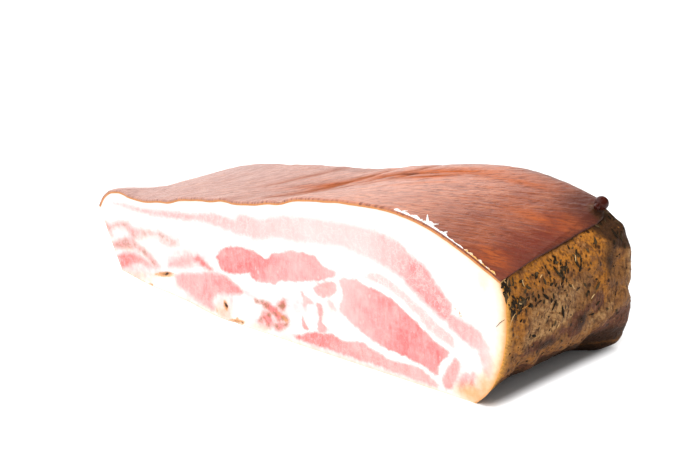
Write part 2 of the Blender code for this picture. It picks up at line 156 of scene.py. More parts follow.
# Herb leaves, at the places that the solid has them
BIG_LEAVES = (
    (0.085, 0.79, 0.0046, 1.2), (0.125, 0.92, 0.0030, 0.2), (0.150, 0.86, 0.0034, 2.5),
    (0.255, 0.84, 0.0034, 1.9), (0.345, 0.84, 0.0060, 2.2), (0.370, 0.80, 0.0044, 1.7),
    (0.480, 0.84, 0.0064, 1.9), (0.500, 0.78, 0.0040, 1.4), (0.245, 0.74, 0.0042, 2.3),
    (0.350, 0.57, 0.0054, 1.6), (0.300, 0.66, 0.0036, 1.1), (0.600, 0.61, 0.0044, 0.7),
    (0.640, 0.88, 0.0040, 1.2), (0.700, 0.94, 0.0050, 2.0), (0.760, 0.86, 0.0058, 1.4),
    (0.600, 0.49, 0.0034, 0.3), (0.185, 0.48, 0.0032, 2.8), (0.520, 0.66, 0.0030, 2.4),
)
CLUMPS = (((0.022, 0.93), (0.020, 0.060), 8), ((0.080, 0.755), (0.050, 0.045), 9))
CLUMP_LEAF = (0.0028, 0.0050)
LEAF_WIDTH = 0.0011
LEAF_WIDTH_GROWTH = (0.8, 120.0)
SMALL_LEAF = (0.0016, 0.0030)
SMALL_LEAF_ALONG = (0.08, 0.92)
SMALL_LEAF_UP = (0.25, 0.90)
SMALL_LEAVES_REACH = 0.8
SMALL_LEAVES = (("thick", 22), ("back", 26), ("thin", 5))
HERB_SEED = 31

BERRY_RADIUS = 0.0031
BERRY_SQUASH = np.array([1.0, 0.94, 0.97])
BERRY_LOBE = 0.0014
BERRY_LOBE_SIDE = (-0.14, -0.93, -0.33)
BERRY_LOBE_REACH = 0.98

# ---------------------------------------------------------------- lean on the cut face, in millimetres
def lean_area(outline, red, brown=0.0, veins=0.3, soft=0.1):
    """A piece of lean: its outline as (x, z), how red it is at (x, redness) stations, how brown and how
    veined it is, and by how many millimetres its edge is softened."""
    return {"outline": outline, "red": red, "brown": brown, "veins": veins, "soft": soft}


LEANS = {
    "upper_band": lean_area(
        ((-214, 42), (-190, 43.6), (-172, 46), (-165, 46.5), (-155, 48.5), (-148, 50), (-135, 50),
         (-130, 53.5), (-120, 53), (-113, 55), (-103, 58), (-90, 59.5), (-75, 61), (-55, 61.5), (-48, 60.5),
         (-42, 59.5), (-38, 57.5), (-35, 55), (-30, 53), (-26, 51), (-22, 47), (-18, 43), (-14, 39.5),
         (-13, 36.5), (-13.5, 33.5), (-14.5, 30), (-22, 32.5), (-27, 35.5), (-32, 38.5), (-37, 41.8),
         (-42, 44.5), (-55, 47.5), (-70, 49.5), (-78, 49), (-93, 46.8), (-110, 45), (-122, 42.3),
         (-140, 42.6), (-155, 43.2), (-172, 41.2), (-190, 39.6), (-214, 39.8)),
        ((-212, 0.42), (-170, 0.56), (-120, 0.4), (-90, 0.29), (-60, 0.33), (-45, 0.48), (-35, 0.64),
         (-26, 0.76), (-14, 0.72)), veins=0.6, soft=1,
    ),
    "band_end": lean_area(
        ((-15, 34.5), (-8, 33.5), (-2, 32), (1, 31), (4, 27), (6, 25), (8, 18), (7.5, 13), (5, 12), (2, 17),
         (0, 22), (-3, 23), (-8, 25), (-12, 27), (-15, 29)),
        ((-15, 0.64), (-5, 0.56), (2, 0.46), (5, 0.3), (8, 0.15)), veins=0.4, soft=0.7,
    ),
    "thin_band": lean_area(
        ((-58, 40.5), (-54, 43), (-48, 42.5), (-44, 41), (-38, 38.5), (-32, 35.5), (-26, 32.5), (-20, 29),
         (-16, 27), (-12, 25), (-11.5, 22), (-12, 20.5), (-20, 22.5), (-26, 26), (-30, 29), (-36, 32.5),
         (-42, 35.5), (-46, 37), (-52, 38.3), (-58, 39)),
        ((-58, 0.32), (-12, 0.42)), veins=0.9, soft=0.5,
    ),
    "main": lean_area(
        ((-73, 35), (-68, 37), (-64, 37.5), (-57, 36), (-50, 35.5), (-45, 34), (-40, 31.5), (-34, 28.5),
         (-28, 25), (-22, 21.5), (-17, 19.5), (-14, 18.5), (-14.5, 16), (-18, 13), (-19, 10), (-20, 6.5),
         (-27, 8.5), (-33, 9.5), (-40, 10.5), (-46, 11), (-52, 12), (-58, 14), (-64, 16.5), (-70, 19.5),
         (-73, 21.5), (-72, 25), (-71, 30)),
        ((-73, 0.42), (-60, 0.6), (-45, 0.72), (-30, 0.82), (-18, 0.72)), veins=0.15, soft=0.25,
    ),
    "middle": lean_area(
        ((-146, 31), (-143, 33.5), (-139, 35.5), (-135, 36.5), (-126.5, 37.5), (-119.5, 36.5), (-116, 35),
         (-113.5, 36.5), (-111, 38.5), (-107, 40), (-101, 42), (-95, 43), (-90.5, 43), (-86.5, 42.5),
         (-83.5, 40.5), (-81, 39), (-76, 39), (-74.5, 37.5), (-76, 35.5), (-80, 34), (-84, 32),
         (-90.5, 30.5), (-95, 29), (-101, 27.5), (-107, 26.5), (-110, 24), (-112.5, 24), (-118, 23.5),
         (-122.5, 23.5), (-125.5, 24.5), (-125.5, 26.5), (-128, 25.5), (-131.5, 24), (-136.5, 23.5),
         (-142, 23), (-144.5, 24.5), (-145.5, 27), (-147, 29)),
        ((-147, 0.74), (-138, 0.84), (-126, 0.8), (-119, 0.78), (-108, 0.64), (-95, 0.6), (-84, 0.66),
         (-75, 0.5)), veins=0.2, soft=0.3,
    ),
    "knob": lean_area(
        ((-86, 30), (-82.5, 32), (-78, 33.5), (-74.5, 33), (-74, 30.5), (-75.5, 28), (-79, 26), (-83.5, 25),
         (-86.5, 26.5), (-87.5, 28)),
        ((-88, 0.58), (-74, 0.5)), brown=0.1, veins=0.3, soft=0.25,
    ),
    "sliver": lean_area(
        ((-79.5, 24.5), (-76.5, 24.2), (-74.5, 21.5), (-76.5, 21), (-79, 22.8)),
        ((-80, 0.4), (-74, 0.4)), soft=0.3,
    ),
    "triangle": lean_area(
        ((-95, 25), (-93, 24.5), (-90, 23), (-87.5, 21), (-90.5, 19.8), (-93, 18.5), (-94, 21.5)),
        ((-95, 0.46), (-87, 0.46)), brown=0.15,
    ),
    "thin_wedge": lean_area(
        ((-93.8, 13.5), (-92.6, 11.5), (-90.3, 8.5), (-93, 8), (-94.3, 10.5)),
        ((-94, 0.6), (-90, 0.6)), brown=0.25,
    ),
    "strip": lean_area(
        ((-85.5, 21.5), (-83, 21.5), (-82, 18.5), (-82.8, 14.5), (-80, 12), (-78.2, 11), (-82.5, 9),
         (-85.4, 10), (-84.4, 15.5), (-85.2, 18.5)),
        ((-85, 0.58), (-79, 0.62)), brown=0.1, veins=0.2,
    ),
    "bottom": lean_area(
        ((-99, 3.5), (-95, 5), (-90, 7.5), (-80, 9.5), (-77, 10), (-70, 8.5), (-60, 10.5), (-52, 8.5),
         (-44, 7), (-32, 7.5), (-27, 7), (-22, 4.5), (-19, 2), (-24, 1.2), (-40, 1.6), (-60, 2), (-80, 2.2),
         (-95, 2)),
        ((-99, 0.66), (-85, 0.84), (-70, 0.66), (-40, 0.56), (-20, 0.48)), brown=0.12, veins=0.35, soft=0.35,
    ),
    "fan_leaf": lean_area(
        ((-10.5, 16.5), (-8, 14), (-9.5, 8), (-12, 3), (-15, 1.5), (-17, 5), (-15.5, 10), (-12.5, 14.5)),
        ((-17, 0.56), (-8, 0.62)), brown=0.1, veins=0.3, soft=0.5,
    ),
    "fan_small": lean_area(
        ((-4.8, 12), (-3.4, 9.5), (-5, 6), (-7.6, 4.2), (-9, 6.5), (-7, 10)),
        ((-9, 0.56), (-3, 0.6)), soft=0.6,
    ),
    "fan_streak": lean_area(
        ((-2.2, 12.5), (-1, 11.5), (-1.8, 7.5), (-3.2, 6.2), (-3.4, 9)),
        ((-3, 0.6), (-1, 0.6)), brown=0.25, soft=0.4,
    ),
    "lower_left": lean_area(
        ((-174, 15), (-167, 17.5), (-159, 19), (-151, 21.5), (-143, 22), (-137.5, 20.5), (-133, 18.5),
         (-130, 16), (-134, 13.5), (-139, 12.5), (-143.5, 12), (-147.5, 10), (-149.5, 7), (-147.5, 4.5),
         (-149, 2.5), (-155, 3.5), (-160.5, 5), (-167.5, 7.5), (-172.5, 8.5), (-174.5, 11.5)),
        ((-174, 0.5), (-165, 0.64), (-150, 0.64), (-142, 0.78), (-134, 0.82)), veins=0.3, soft=1,
    ),
    "cluster_strip": lean_area(
        ((-122.5, 14.5), (-120, 15), (-117.5, 15.5), (-114, 15), (-109.5, 13.5), (-106, 12), (-102, 10.5),
         (-102.5, 8.5), (-107, 8.5), (-109.5, 8.5), (-112, 10.5), (-116, 11.5), (-118.5, 13), (-122, 13)),
        ((-123, 0.7), (-113, 0.9), (-104, 0.98)), brown=1.3, veins=0.1, soft=0.7,
    ),
    "cluster_left": lean_area(
        ((-117, 10), (-113.5, 11), (-112, 7.5), (-113, 4), (-115.5, 3.5), (-117.5, 6), (-119.5, 4.5),
         (-121, 5), (-119, 7.5)),
        ((-121, 0.64), (-117, 0.78), (-112, 0.9)), brown=1, veins=0.1, soft=0.9,
    ),
    "cluster_foot": lean_area(
        ((-111, 5.5), (-107, 7), (-102.5, 9.5), (-101.8, 8), (-104, 5.5), (-108, 3.4), (-110.5, 3.8)),
        ((-111, 0.84), (-102, 0.86)), brown=1.1, veins=0.1, soft=0.8,
    ),
    "cluster_top": lean_area(
        ((-108.5, 16.5), (-106.5, 18.5), (-105, 19.5), (-103.5, 18), (-103.3, 15.5), (-105, 13.2),
         (-108, 13.8), (-109.5, 15)),
        ((-110, 0.6), (-106, 0.82), (-103, 0.95)), brown=1.1, veins=0.1, soft=0.8,
    ),
    "trapezoid": lean_area(
        ((-179, 19.5), (-176, 21.7), (-170.5, 23.6), (-164, 25.6), (-162.4, 23.5), (-163.5, 20.5),
         (-169.5, 18.3), (-175, 17.2), (-179, 16.8)),
        ((-179, 0.58), (-163, 0.56)), veins=0.4, soft=1.5,
    ),
    "arch": lean_area(
        ((-161.7, 25), (-159, 27.3), (-157, 27), (-154, 25.5), (-151, 24), (-148.6, 22.3), (-152, 21.3),
         (-155.5, 22), (-158, 23.6), (-160, 23.6)),
        ((-161, 0.8), (-149, 0.84)), brown=0.2, soft=0.8,
    ),
    "left_top": lean_area(
        ((-223, 30), (-217.5, 31.2), (-212, 33), (-206, 33.6), (-202, 32.2), (-196.5, 32.5), (-190.5, 33),
         (-185, 34), (-179.5, 33), (-174.5, 32.5), (-171, 31.5), (-172, 29), (-177, 28.3), (-182.5, 28),
         (-185.5, 30), (-192.5, 28.5), (-198, 27.5), (-201, 26), (-205, 26.4), (-208, 29), (-213.5, 29),
         (-217.5, 27), (-218, 24), (-221, 25)),
        ((-223, 0.68), (-216, 0.6), (-207, 0.6), (-201, 0.62), (-195, 0.44), (-185, 0.32), (-171, 0.26)),
        brown=0.6, veins=0.5, soft=1.8,
    ),
    "left_brown": lean_area(
        ((-218.5, 20.5), (-214, 22.7), (-209.5, 24.7), (-204.5, 26), (-201, 24.2), (-195.5, 23),
         (-190.5, 21), (-186.5, 18.5), (-184, 15.5), (-187.5, 14), (-191.5, 15.5), (-195, 18), (-199, 19.6),
         (-203.5, 20.4), (-208.5, 19.8), (-213.5, 18.6), (-217, 18)),
        ((-218, 0.78), (-210, 0.68), (-203, 0.5), (-197, 0.5), (-190, 0.6), (-184, 0.62)),
        brown=0.7, veins=0.5, soft=1.5,
    ),
    "left_deep": lean_area(
        ((-215.5, 14.5), (-212, 17), (-207, 18.6), (-201.5, 19.2), (-196.5, 18.6), (-192, 17), (-189, 15),
         (-191.5, 13), (-196.5, 13.8), (-200, 13.4), (-204.5, 11.5), (-209, 9.2), (-212.5, 9), (-214, 12)),
        ((-215, 0.84), (-205, 0.76), (-196, 0.62), (-189, 0.56)), brown=0.15, veins=0.3, soft=1.1,
    ),
}
OUTLINE_STEPS = 5  # points laid on the smooth outline from one given point to the next
LEAN_REACH = 6.0  # farther from a lean than this, all is fat
SPOT_SHARPNESS = 3  # how flat the drawn spots are in their middle

# Fat with a pink flush on the cut face: x and z of the middle, half length and height, turn in degrees,
# amount
FLUSHES = (
    (-3.5, 7.5, 11.5, 7.5, 0, 0.46), (-62, 1.2, 48, 2.2, 0, 0.33), (-156, 6, 17, 4.6, 8, 0.42),
    (-142, 5.5, 6, 6.5, 0, 0.72), (-200, 9.5, 14, 4, 12, 0.72), (-110, 9.5, 9.5, 7.5, 0, 0.9),
    (-77, 21, 6, 8, 0, 0.28), (-8.5, 41, 3.5, 3, 0, 0.25), (-137.4, 9.4, 1.8, 3.6, 8, 0.72),
    (-126, 16, 6.5, 1.6, -14, 0.75), (-119, 4.5, 4.5, 3.4, 0, 0.75), (-165, 24.5, 17, 5, 8, 0.78),
    (-178, 29.5, 9, 4, 10, 0.55), (-206, 23.5, 11, 6, 10, 0.62), (-102, 2.5, 12, 2, 4, 0.4),
    (-9, 20, 5, 3, 0, 0.17), (-87, 18, 9, 8, 0, 0.36), (-97, 18, 9, 5.5, 0, 0.58),
    (-132, 40, 30, 1.6, 3, 0.11), (-6, 28, 9, 3, -30, 0.18),
)

# Lean on the smoked thick end: y and z of the middle, half length and height, turn in degrees
THICK_END_LEANS = (
    (24, 21.6, 10, 2.6, 3), (36.5, 24.2, 4.6, 2.6, 12), (45.5, 25, 6.5, 5, 14), (58.5, 31, 4.6, 4.4, 30),
    (53, 30.5, 4.5, 2.2, 25), (76, 17, 16, 8.5, 18), (22, 11.5, 26, 2, 2),
)
# Tints of the smoked thick end: y and z of the middle, half length and height, turn in degrees, amount.
# The dark tints are mostly painted shade of the far, low and under parts and of the strip below the rind,
# with some darker crust; two dusty tints at the far edge are a painted rim light
THICK_END_TINTS = {
    "gold": (
        (24, 52, 26, 7.5, 4, 0.85), (58, 54, 11, 8, 10, 1.1), (61.5, 38, 4, 12, -8, 1.1),
        (26, 16.8, 18, 1.2, 2, 0.55), (8, 38, 7, 18, 0, 0.8), (42, 49, 12, 6, 8, 0.75),
    ),
    "dust_and_rim_light": (
        # the two at y 84 and 88 are a painted rim light along the far edge, the rest is dust
        (30, 35, 20, 9, 14, 0.95), (20, 27, 13, 5, 6, 1), (84, 39, 7, 13, 0, 1.15), (88, 27, 5, 12, 0, 1.7),
        (62, 24.5, 9, 3, 30, 0.9), (34, 29, 14, 1.6, 14, 1.4),
    ),
    "shade": (
        (79.5, 57.5, 13, 7.5, -10, 2.2), (67.8, 48.5, 4.4, 11.5, -15, 0.92), (72, 62.5, 16, 4, -4, 1.7),
        (40, 7.5, 40, 4.6, 4, 1.4), (66, 9.5, 24, 6, 8, 1.2), (10, 6, 14, 6, 20, 1),
        (40, 57.5, 22, 1.4, 4, 0.9), (76, 16, 15, 7, 18, 0.45), (78, 1.5, 26, 5, 0, 1.3),
        (40, 1.5, 44, 3.5, 0, 1.2), (49, 25.5, 5.5, 3.6, 14, 0.95), (28, 21, 12, 2.6, 6, 0.7),
    ),
}
GLOW_REACH = 3.8  # how far the smoked fat glows behind the cut's edge
FIBRE_SLANT = math.radians(28)  # how the fibres of the smoked thick end rise to the back
# Browned spots on the cut face, as FLUSHES
BROWN_SPOTS = (
    (-182, 12.6, 5, 0.85, 11, 0.74), (-181.3, 13, 1.2, 0.62, 11, 1.25), (-187.5, 11.5, 1.2, 0.5, 14, 0.6),
    (-192.2, 5.8, 1.4, 0.5, 10, 0.5), (-190.6, 5.7, 0.5, 0.6, 0, 0.75), (-177.5, 3.1, 3.6, 0.45, 6, 0.46),
    (-141.3, 7.2, 0.8, 1.8, 14, 1.15), (-134.6, 1.5, 4, 0.75, 9, 0.66), (-131.2, 1.5, 0.9, 0.6, 9, 1.1),
    (-134, 2.9, 0.6, 0.6, 0, 0.66), (-11.4, 37.2, 0.5, 0.5, 0, 0.55), (-9.2, 36, 0.4, 1, 30, 0.62),
    (-8.3, 34.8, 0.8, 0.4, 0, 0.55), (-35.5, 55, 0.5, 0.5, 0, 0.5), (-104.6, 9.8, 2.6, 1, -25, 0.44),
    (-107.5, 11.4, 2.4, 0.8, -25, 0.36), (-200, 5.4, 6.5, 0.35, 9, 0.34), (-207.5, 8, 0.5, 2.2, -14, 0.3),
    (-172, 3.2, 3.2, 0.35, 5, 0.36), (-147, 3.2, 0.7, 1.6, 20, 0.4),
)
# Warm, smoke-stained spots on the cut face, as FLUSHES
WARM_SPOTS = (
    (-183, 12, 8.5, 1.6, 11, 0.34), (-134, 1.4, 7, 1.8, 9, 0.45), (-196, 6, 17, 2.4, 8, 0.26),
    (-168, 5, 12, 1.8, 8, 0.22), (-143, 3.5, 6.5, 4, 0, 0.42), (-1, 3.5, 11, 5, 0, 0.8),
    (-120, 2.2, 9, 2, 3, 0.4), (5, 8, 6, 8, 0, 0.74), (-200.5, 7.5, 9, 2.4, 10, 0.2),
    (2, 53, 5, 7, 0, 0.42),
)
# Cream-coloured fat on the cut face, as FLUSHES
CREAMY_SPOTS = (
    (-199.5, 7.6, 13, 3, 10, 1.05), (-178, 8.4, 7, 4.4, 10, 0.85), (-206, 20.5, 5, 1.6, 10, 0.9),
    (-143, 6, 6, 6.5, 0, 0.75), (-160, 2.8, 22, 1.8, 4, 0.6), (-194, 29, 8, 4, 0, 0.4),
    (-78, 21, 5, 9, 0, 0.35), (3, 52, 8, 12, 0, 0.5), (0, 7, 10, 5, 0, 0.6), (-135, 17, 8, 3, -20, 0.4),
)
# Warm edges of the cut face: how far they reach in and how strong they are
WARM_EDGES = {"thick": (4.6, 0.97), "rind": (1.7, 0.84), "floor": (1.3, 0.52), "thin": (1.2, 0.36)}
RIND_EDGE_WIDENS = ((-70.0, -25.0, 8.0), (1.0, 1.7, 2.8))  # x, and how much farther the rind's reaches there
# The round white nodule in the fat: (x, z) of its middle, (half length, half height), how far it stands out
NODULE = ((-0.1275, 0.0085), (0.0090, 0.0058), 0.0005)

# Slope dy/dx of the rind's fibres along x
FIBRE_SLOPES = (
    (-0.240, 3.4), (-0.150, 3.0), (-0.120, 2.0), (-0.095, 0.9), (-0.072, 0.45), (-0.055, 0.45),
    (-0.040, 0.72), (-0.020, 1.0), (0.030, 0.85),
)
FIBRE_STATIONS = (-0.240, 0.030, 271)  # from, to, how many
FIBRE_SPREAD = 0.8  # scale of places across the fibres
# Stains of the rind, and painted shade: x and y of the middle, half length and width, turn in degrees, amount
RIND_STAINS = {
    "ember": (
        (-76, 61, 36, 7, 10, 1.25), (-114, 48, 22, 6, 36, 1.1), (0, 8, 8, 6, 0, 0.8),
        (-7, 47, 12, 4, 25, 0.75), (-30, 66, 16, 3, 20, 0.55), (-60, 40, 14, 2.5, 35, 0.35),
        (-104, 33, 12, 3, 34, 0.45), (3, 56, 7, 9, 0, 0.7), (-66, 52.5, 15, 4.5, 26, 1.15),
    ),
    # dark: partly dark patches, partly painted shade along the thick end's edge, at the far corner and along
    # the back ridge
    "dark_patch_and_shade": (
        (-66, 53.5, 15, 3.2, 26, 0.36), (-80, 58.5, 9, 2.6, 10, 0.95), (4, 78, 17, 20, 0, 1.15),
        (9, 34, 5, 46, 0, 0.5), (-24, 84, 28, 9, 0, 0.7), (-70, 82, 26, 7, 0, 0.6),
        (-152.5, 16, 1, 1, 0, 1), (-193, 70, 18, 9, 0, 0.35), (-130, 76, 22, 7, 0, 0.4),
    ),
    "line": (
        (-118, 42, 38, 42, 0, 1), (-160, 30, 40, 30, 0, 0.55), (-50, 50, 40, 34, 0, 0.45),
    ),
}
# How far the rind hangs down over the thick end at each depth, in millimetres, as a part of the height
FLAP = (
    (0, 0.004), (20, 0.010), (30, 0.019), (41, 0.032), (58, 0.045), (69, 0.058), (75, 0.055), (82, 0.006),
    (90, 0.004),
)
FLAP_CELLS = 0.03  # how far u runs on beyond 1 for it
# painted shade where the rind turns down over the thick end
RIM_SHADE, RIM_SHADE_REACH = 0.95, 0.0010  # how dark the rind is at that edge, and how far in

# ---------------------------------------------------------------- the view of the photograph
CAMERA_PLACE = (0.3478, -0.4727, 0.2552)  # in the slab's own frame
CAMERA_TURN = math.radians(41.431)
CAMERA_TILT = math.radians(17.385)
CAMERA_LENS = 83.32
CAMERA_SENSOR = 36.0


# ================================================================ sizes and colours a user may change
def length_property(label, description, default):
    return bpy.props.FloatProperty(
        name=label, description=description, default=default, min=0.0, unit="LENGTH"
    )


def colour_property(label, description, default):
    return bpy.props.FloatVectorProperty(
        name=label, description=description, default=default, size=3, min=0.0, max=1.0, subtype="COLOR"
    )


class BaconSizes(bpy.types.PropertyGroup):
    """Sizes of the finish."""

    rind_thickness: length_property("Rind thickness", "Thickness of the skin", 0.0012)
    rind_overhang: length_property("Rind overhang", "How far the skin stands out of the cut", 0.00015)
    crust_roughness: length_property("Crust relief", "Height of the crags of the smoked sides", 0.00040)
    cut_relief: length_property("Cut relief", "How far the lean lies below the fat on the cut", 0.00012)
    leaf_thickness: length_property("Leaf thickness", "Half thickness of a herb leaf", 0.00022)
    straw_length: length_property("Straw length", "Length of the longest straw", 0.0052)
    crumb_size: length_property("Crumb size", "Half size of the largest pepper crumb", 0.00042)
    floor_size: length_property("Floor size", "Side of the floor", 8.0)


class BaconColours(bpy.types.PropertyGroup):
    """Colours of the meat, rind, herbs and berry."""

    fat: colour_property("Fat", "Fresh white fat", (0.93, 0.915, 0.90))
    fat_cream: colour_property("Creamy fat", "Fat in its yellower places", (0.92, 0.83, 0.68))
    lean_pale: colour_property("Pale lean", "Lean with much fat in it", (0.86, 0.78, 0.75))
    lean_deep: colour_property("Deep lean", "Reddest lean", (0.77, 0.150, 0.150))
    lean_brown: colour_property("Browned lean", "Lean that has dried", (0.40, 0.155, 0.085))
    glow: colour_property("Smoked edge", "Tint of the fat just inside a smoked edge", (0.98, 0.68, 0.40))
    amber: colour_property("Amber edge", "Fat at a smoked edge", (0.72, 0.30, 0.08))
    burnt: colour_property("Burnt", "Slits and spots", (0.060, 0.022, 0.008))
    crust_gold: colour_property("Golden crust", "Smoked fat", (0.43, 0.158, 0.022))
    crust_glow: colour_property("Glowing crust", "Smoked fat beside the cut", (0.90, 0.42, 0.085))
    crust_brown: colour_property("Brown crust", "Smoked side", (0.27, 0.115, 0.034))
    # also the painted rim light at the thick end's far edge
    crust_dust_and_rim_light: colour_property("Dusty crust", "Dry, greyish tan of the smoked side", (0.48, 0.262, 0.105))
    # also carries the painted shade of the smoked sides
    crust_dark: colour_property("Dark crust", "Darkest part of the smoked side", (0.036, 0.016, 0.008))
    crust_shadow: colour_property("Shadowed crust", "Between the smoked fibres", (0.15, 0.060, 0.025))
    crust_lean: colour_property("Smoked lean", "Dried lean on the smoked side", (0.075, 0.019, 0.010))
    crust_lean_pale: colour_property("Dull smoked lean", "Duller dried lean", (0.175, 0.062, 0.034))
    rind: colour_property("Rind", "Smoked rind", (0.46, 0.132, 0.048))
    rind_deep: colour_property("Deep rind", "Rind by the thick end", (0.155, 0.020, 0.007))
    # partly a painted sheen on the rind by the thin end
    rind_pale_and_sheen: colour_property("Dull rind", "Rind by the thin end", (0.50, 0.29, 0.25))
    rind_streak: colour_property("Rind streak", "Light strands of the rind", (0.55, 0.210, 0.100))
    rind_ember: colour_property("Rind ember", "Glowing patches of the rind", (0.45, 0.100, 0.020))
    rind_line: colour_property("Rind line", "Dark strands and pores of the rind", (0.14, 0.034, 0.016))
    # dark patches, and painted shade at the rind's edges and back
    rind_dark_and_shade: colour_property("Rind dusk", "Darkest patches of the rind", (0.070, 0.016, 0.009))
    # painted shade in the creases
    rind_crease_shade: colour_property("Rind crease", "Creases of the rind", (0.27, 0.072, 0.024))
    rind_rim: colour_property("Rind rim", "Cut edge of the rind", (0.62, 0.235, 0.060))
    herb: colour_property("Herb", "Dry leaves", (0.017, 0.011, 0.006))
    herb_light: colour_property("Light herb", "Lighter dry leaves", (0.095, 0.060, 0.028))
    straw: colour_property("Straw", "Stalks", (0.72, 0.50, 0.24))
    berry: colour_property("Berry", "Juniper berry", (0.045, 0.008, 0.005))
    floor: colour_property("Floor", "Pale floor", (0.90, 0.90, 0.90))


def sizes():
    return bpy.context.scene.bacon_sizes


def colour(name):
    """A colour of the panel, as the four numbers that a shader socket takes."""
    return (*getattr(bpy.context.scene.bacon_colours, name), 1.0)


# ================================================================ curves, noise and meshes
def smooth_line(stations, at):
    """Cubic curve through (position, value) stations, with the mean slope of its neighbours at each."""
    place, value = np.array(stations, float).T
    slope = np.gradient(value, place)
    at = np.clip(at, place[0], place[-1])
    i = np.clip(np.searchsorted(place, at, side="right") - 1, 0, len(place) - 2)
    span = place[i + 1] - place[i]
    t = (at - place[i]) / span
    start = (2 * t**3 - 3 * t**2 + 1) * value[i] + (t**3 - 2 * t**2 + t) * span * slope[i]
    return start + (3 * t**2 - 2 * t**3) * value[i + 1] + (t**3 - t**2) * span * slope[i + 1]


def ease(low, high, at):
    """0 below low, 1 above high, with a soft start and end between them."""
    t = np.clip((at - low) / (high - low), 0.0, 1.0)
    return t * t * (3.0 - 2.0 * t)


def lattice_noise(points, size, seed):
    """Smooth noise from -1 to 1: seeded values on a cubic lattice, blended with eased weights between
    them."""
    values = np.random.default_rng(seed).uniform(-1.0, 1.0, (32, 32, 32))
    at = points / size
    low = np.floor(at).astype(int)
    part = at - low
    part = part * part * (3.0 - 2.0 * part)
    total = np.zeros(len(points))
    for corner in itertools.product((0, 1), repeat=3):
        index = (low + corner) % 32
        weight = np.where(np.array(corner), part, 1.0 - part).prod(axis=1)
        total += weight * values[index[:, 0], index[:, 1], index[:, 2]]
    return total


def rough_noise(points, size, seed, octaves=3):
    """Sum of lattice noises, each half as large and half as high as the one before."""
    return sum(lattice_noise(points, size / 2**i, seed + i) / 2**i for i in range(octaves))


def unit(vectors):
    return vectors / np.maximum(np.linalg.norm(vectors, axis=-1, keepdims=True), 1e-12)


def box_grid(along, back, up):
    """The six sides of a unit cube, cut at the given places along u, w and v and sharing the points on their
    edges. Gives u, w and v of each point, four points for each face, and the side that each face is on."""
    counts = np.array([len(along), len(back), len(up)])
    sides = []
    faces = []
    numbers = []
    for side, (axis, end, first, second) in enumerate(
        ((1, 0, 0, 2), (1, 1, 2, 0), (0, 1, 1, 2), (0, 0, 2, 1), (2, 0, 1, 0), (2, 1, 0, 1))
    ):
        i, j = np.meshgrid(np.arange(counts[first]), np.arange(counts[second]), indexing="ij")
        index = np.zeros((*i.shape, 3), int)
        index[..., first] = i
        index[..., second] = j
        index[..., axis] = end * (counts[axis] - 1)
        number = (index[..., 0] * counts[1] + index[..., 1]) * counts[2] + index[..., 2]
        quads = np.stack([number[:-1, :-1], number[1:, :-1], number[1:, 1:], number[:-1, 1:]], axis=-1)
        faces.append(quads.reshape(-1, 4))
        numbers.append(number.ravel())
        sides.append(np.full(quads.shape[0] * quads.shape[1], side))
    used, _ = np.unique(np.concatenate(numbers), return_inverse=True)
    faces = np.searchsorted(used, np.concatenate(faces))
    u = np.asarray(along, float)[used // (counts[1] * counts[2])]
    w = np.asarray(back, float)[used // counts[2] % counts[1]]
    v = np.asarray(up, float)[used % counts[2]]
    return u, w, v, faces, np.concatenate(sides)


CUT = 0  # the cut face among box_grid's sides


def point_normals(points, quads):
    """Mean of the normals of the faces round each point, larger faces counting for more."""
    corner = points[quads]
    normal = np.cross(corner[:, 2] - corner[:, 0], corner[:, 3] - corner[:, 1])
    total = np.zeros_like(points)
    for axis in range(3):
        total[:, axis] = np.bincount(quads.ravel(), np.repeat(normal[:, axis], 4), len(points))
    return unit(total)


def quad_piece(name, points, quads, materials, slots=None, sharp=None, **values):
    """An object of four-sided faces, points in the slab's own frame, with a value a point for each name."""
    mesh = bpy.data.meshes.new(name)
    mesh.vertices.add(len(points))
    mesh.vertices.foreach_set("co", (points + SHIFT).astype(np.float32).ravel())
    mesh.loops.add(quads.size)
    mesh.loops.foreach_set("vertex_index", quads.astype(np.int32).ravel())
    mesh.polygons.add(len(quads))
    mesh.polygons.foreach_set("loop_start", np.arange(0, quads.size, 4, dtype=np.int32))
    for material in materials:
        mesh.materials.append(material)
    if slots is not None:
        mesh.polygons.foreach_set("material_index", slots.astype(np.int32))
    for value_name, value in values.items():
        if value.ndim == 2:
            made = mesh.attributes.new(value_name, "FLOAT_VECTOR", "POINT")
            made.data.foreach_set("vector", value.astype(np.float32).ravel())
        else:
            made = mesh.attributes.new(value_name, "FLOAT", "POINT")
            made.data.foreach_set("value", value.astype(np.float32))
    mesh.update(calc_edges=True)
    if mesh.validate():
        raise RuntimeError(f"{name} has faces that aren't sound")
    mesh.shade_smooth()
    if sharp is not None:
        mesh.set_sharp_from_angle(angle=sharp)
    piece = bpy.data.objects.new(name, mesh)
    bpy.context.scene.collection.objects.link(piece)
    return piece


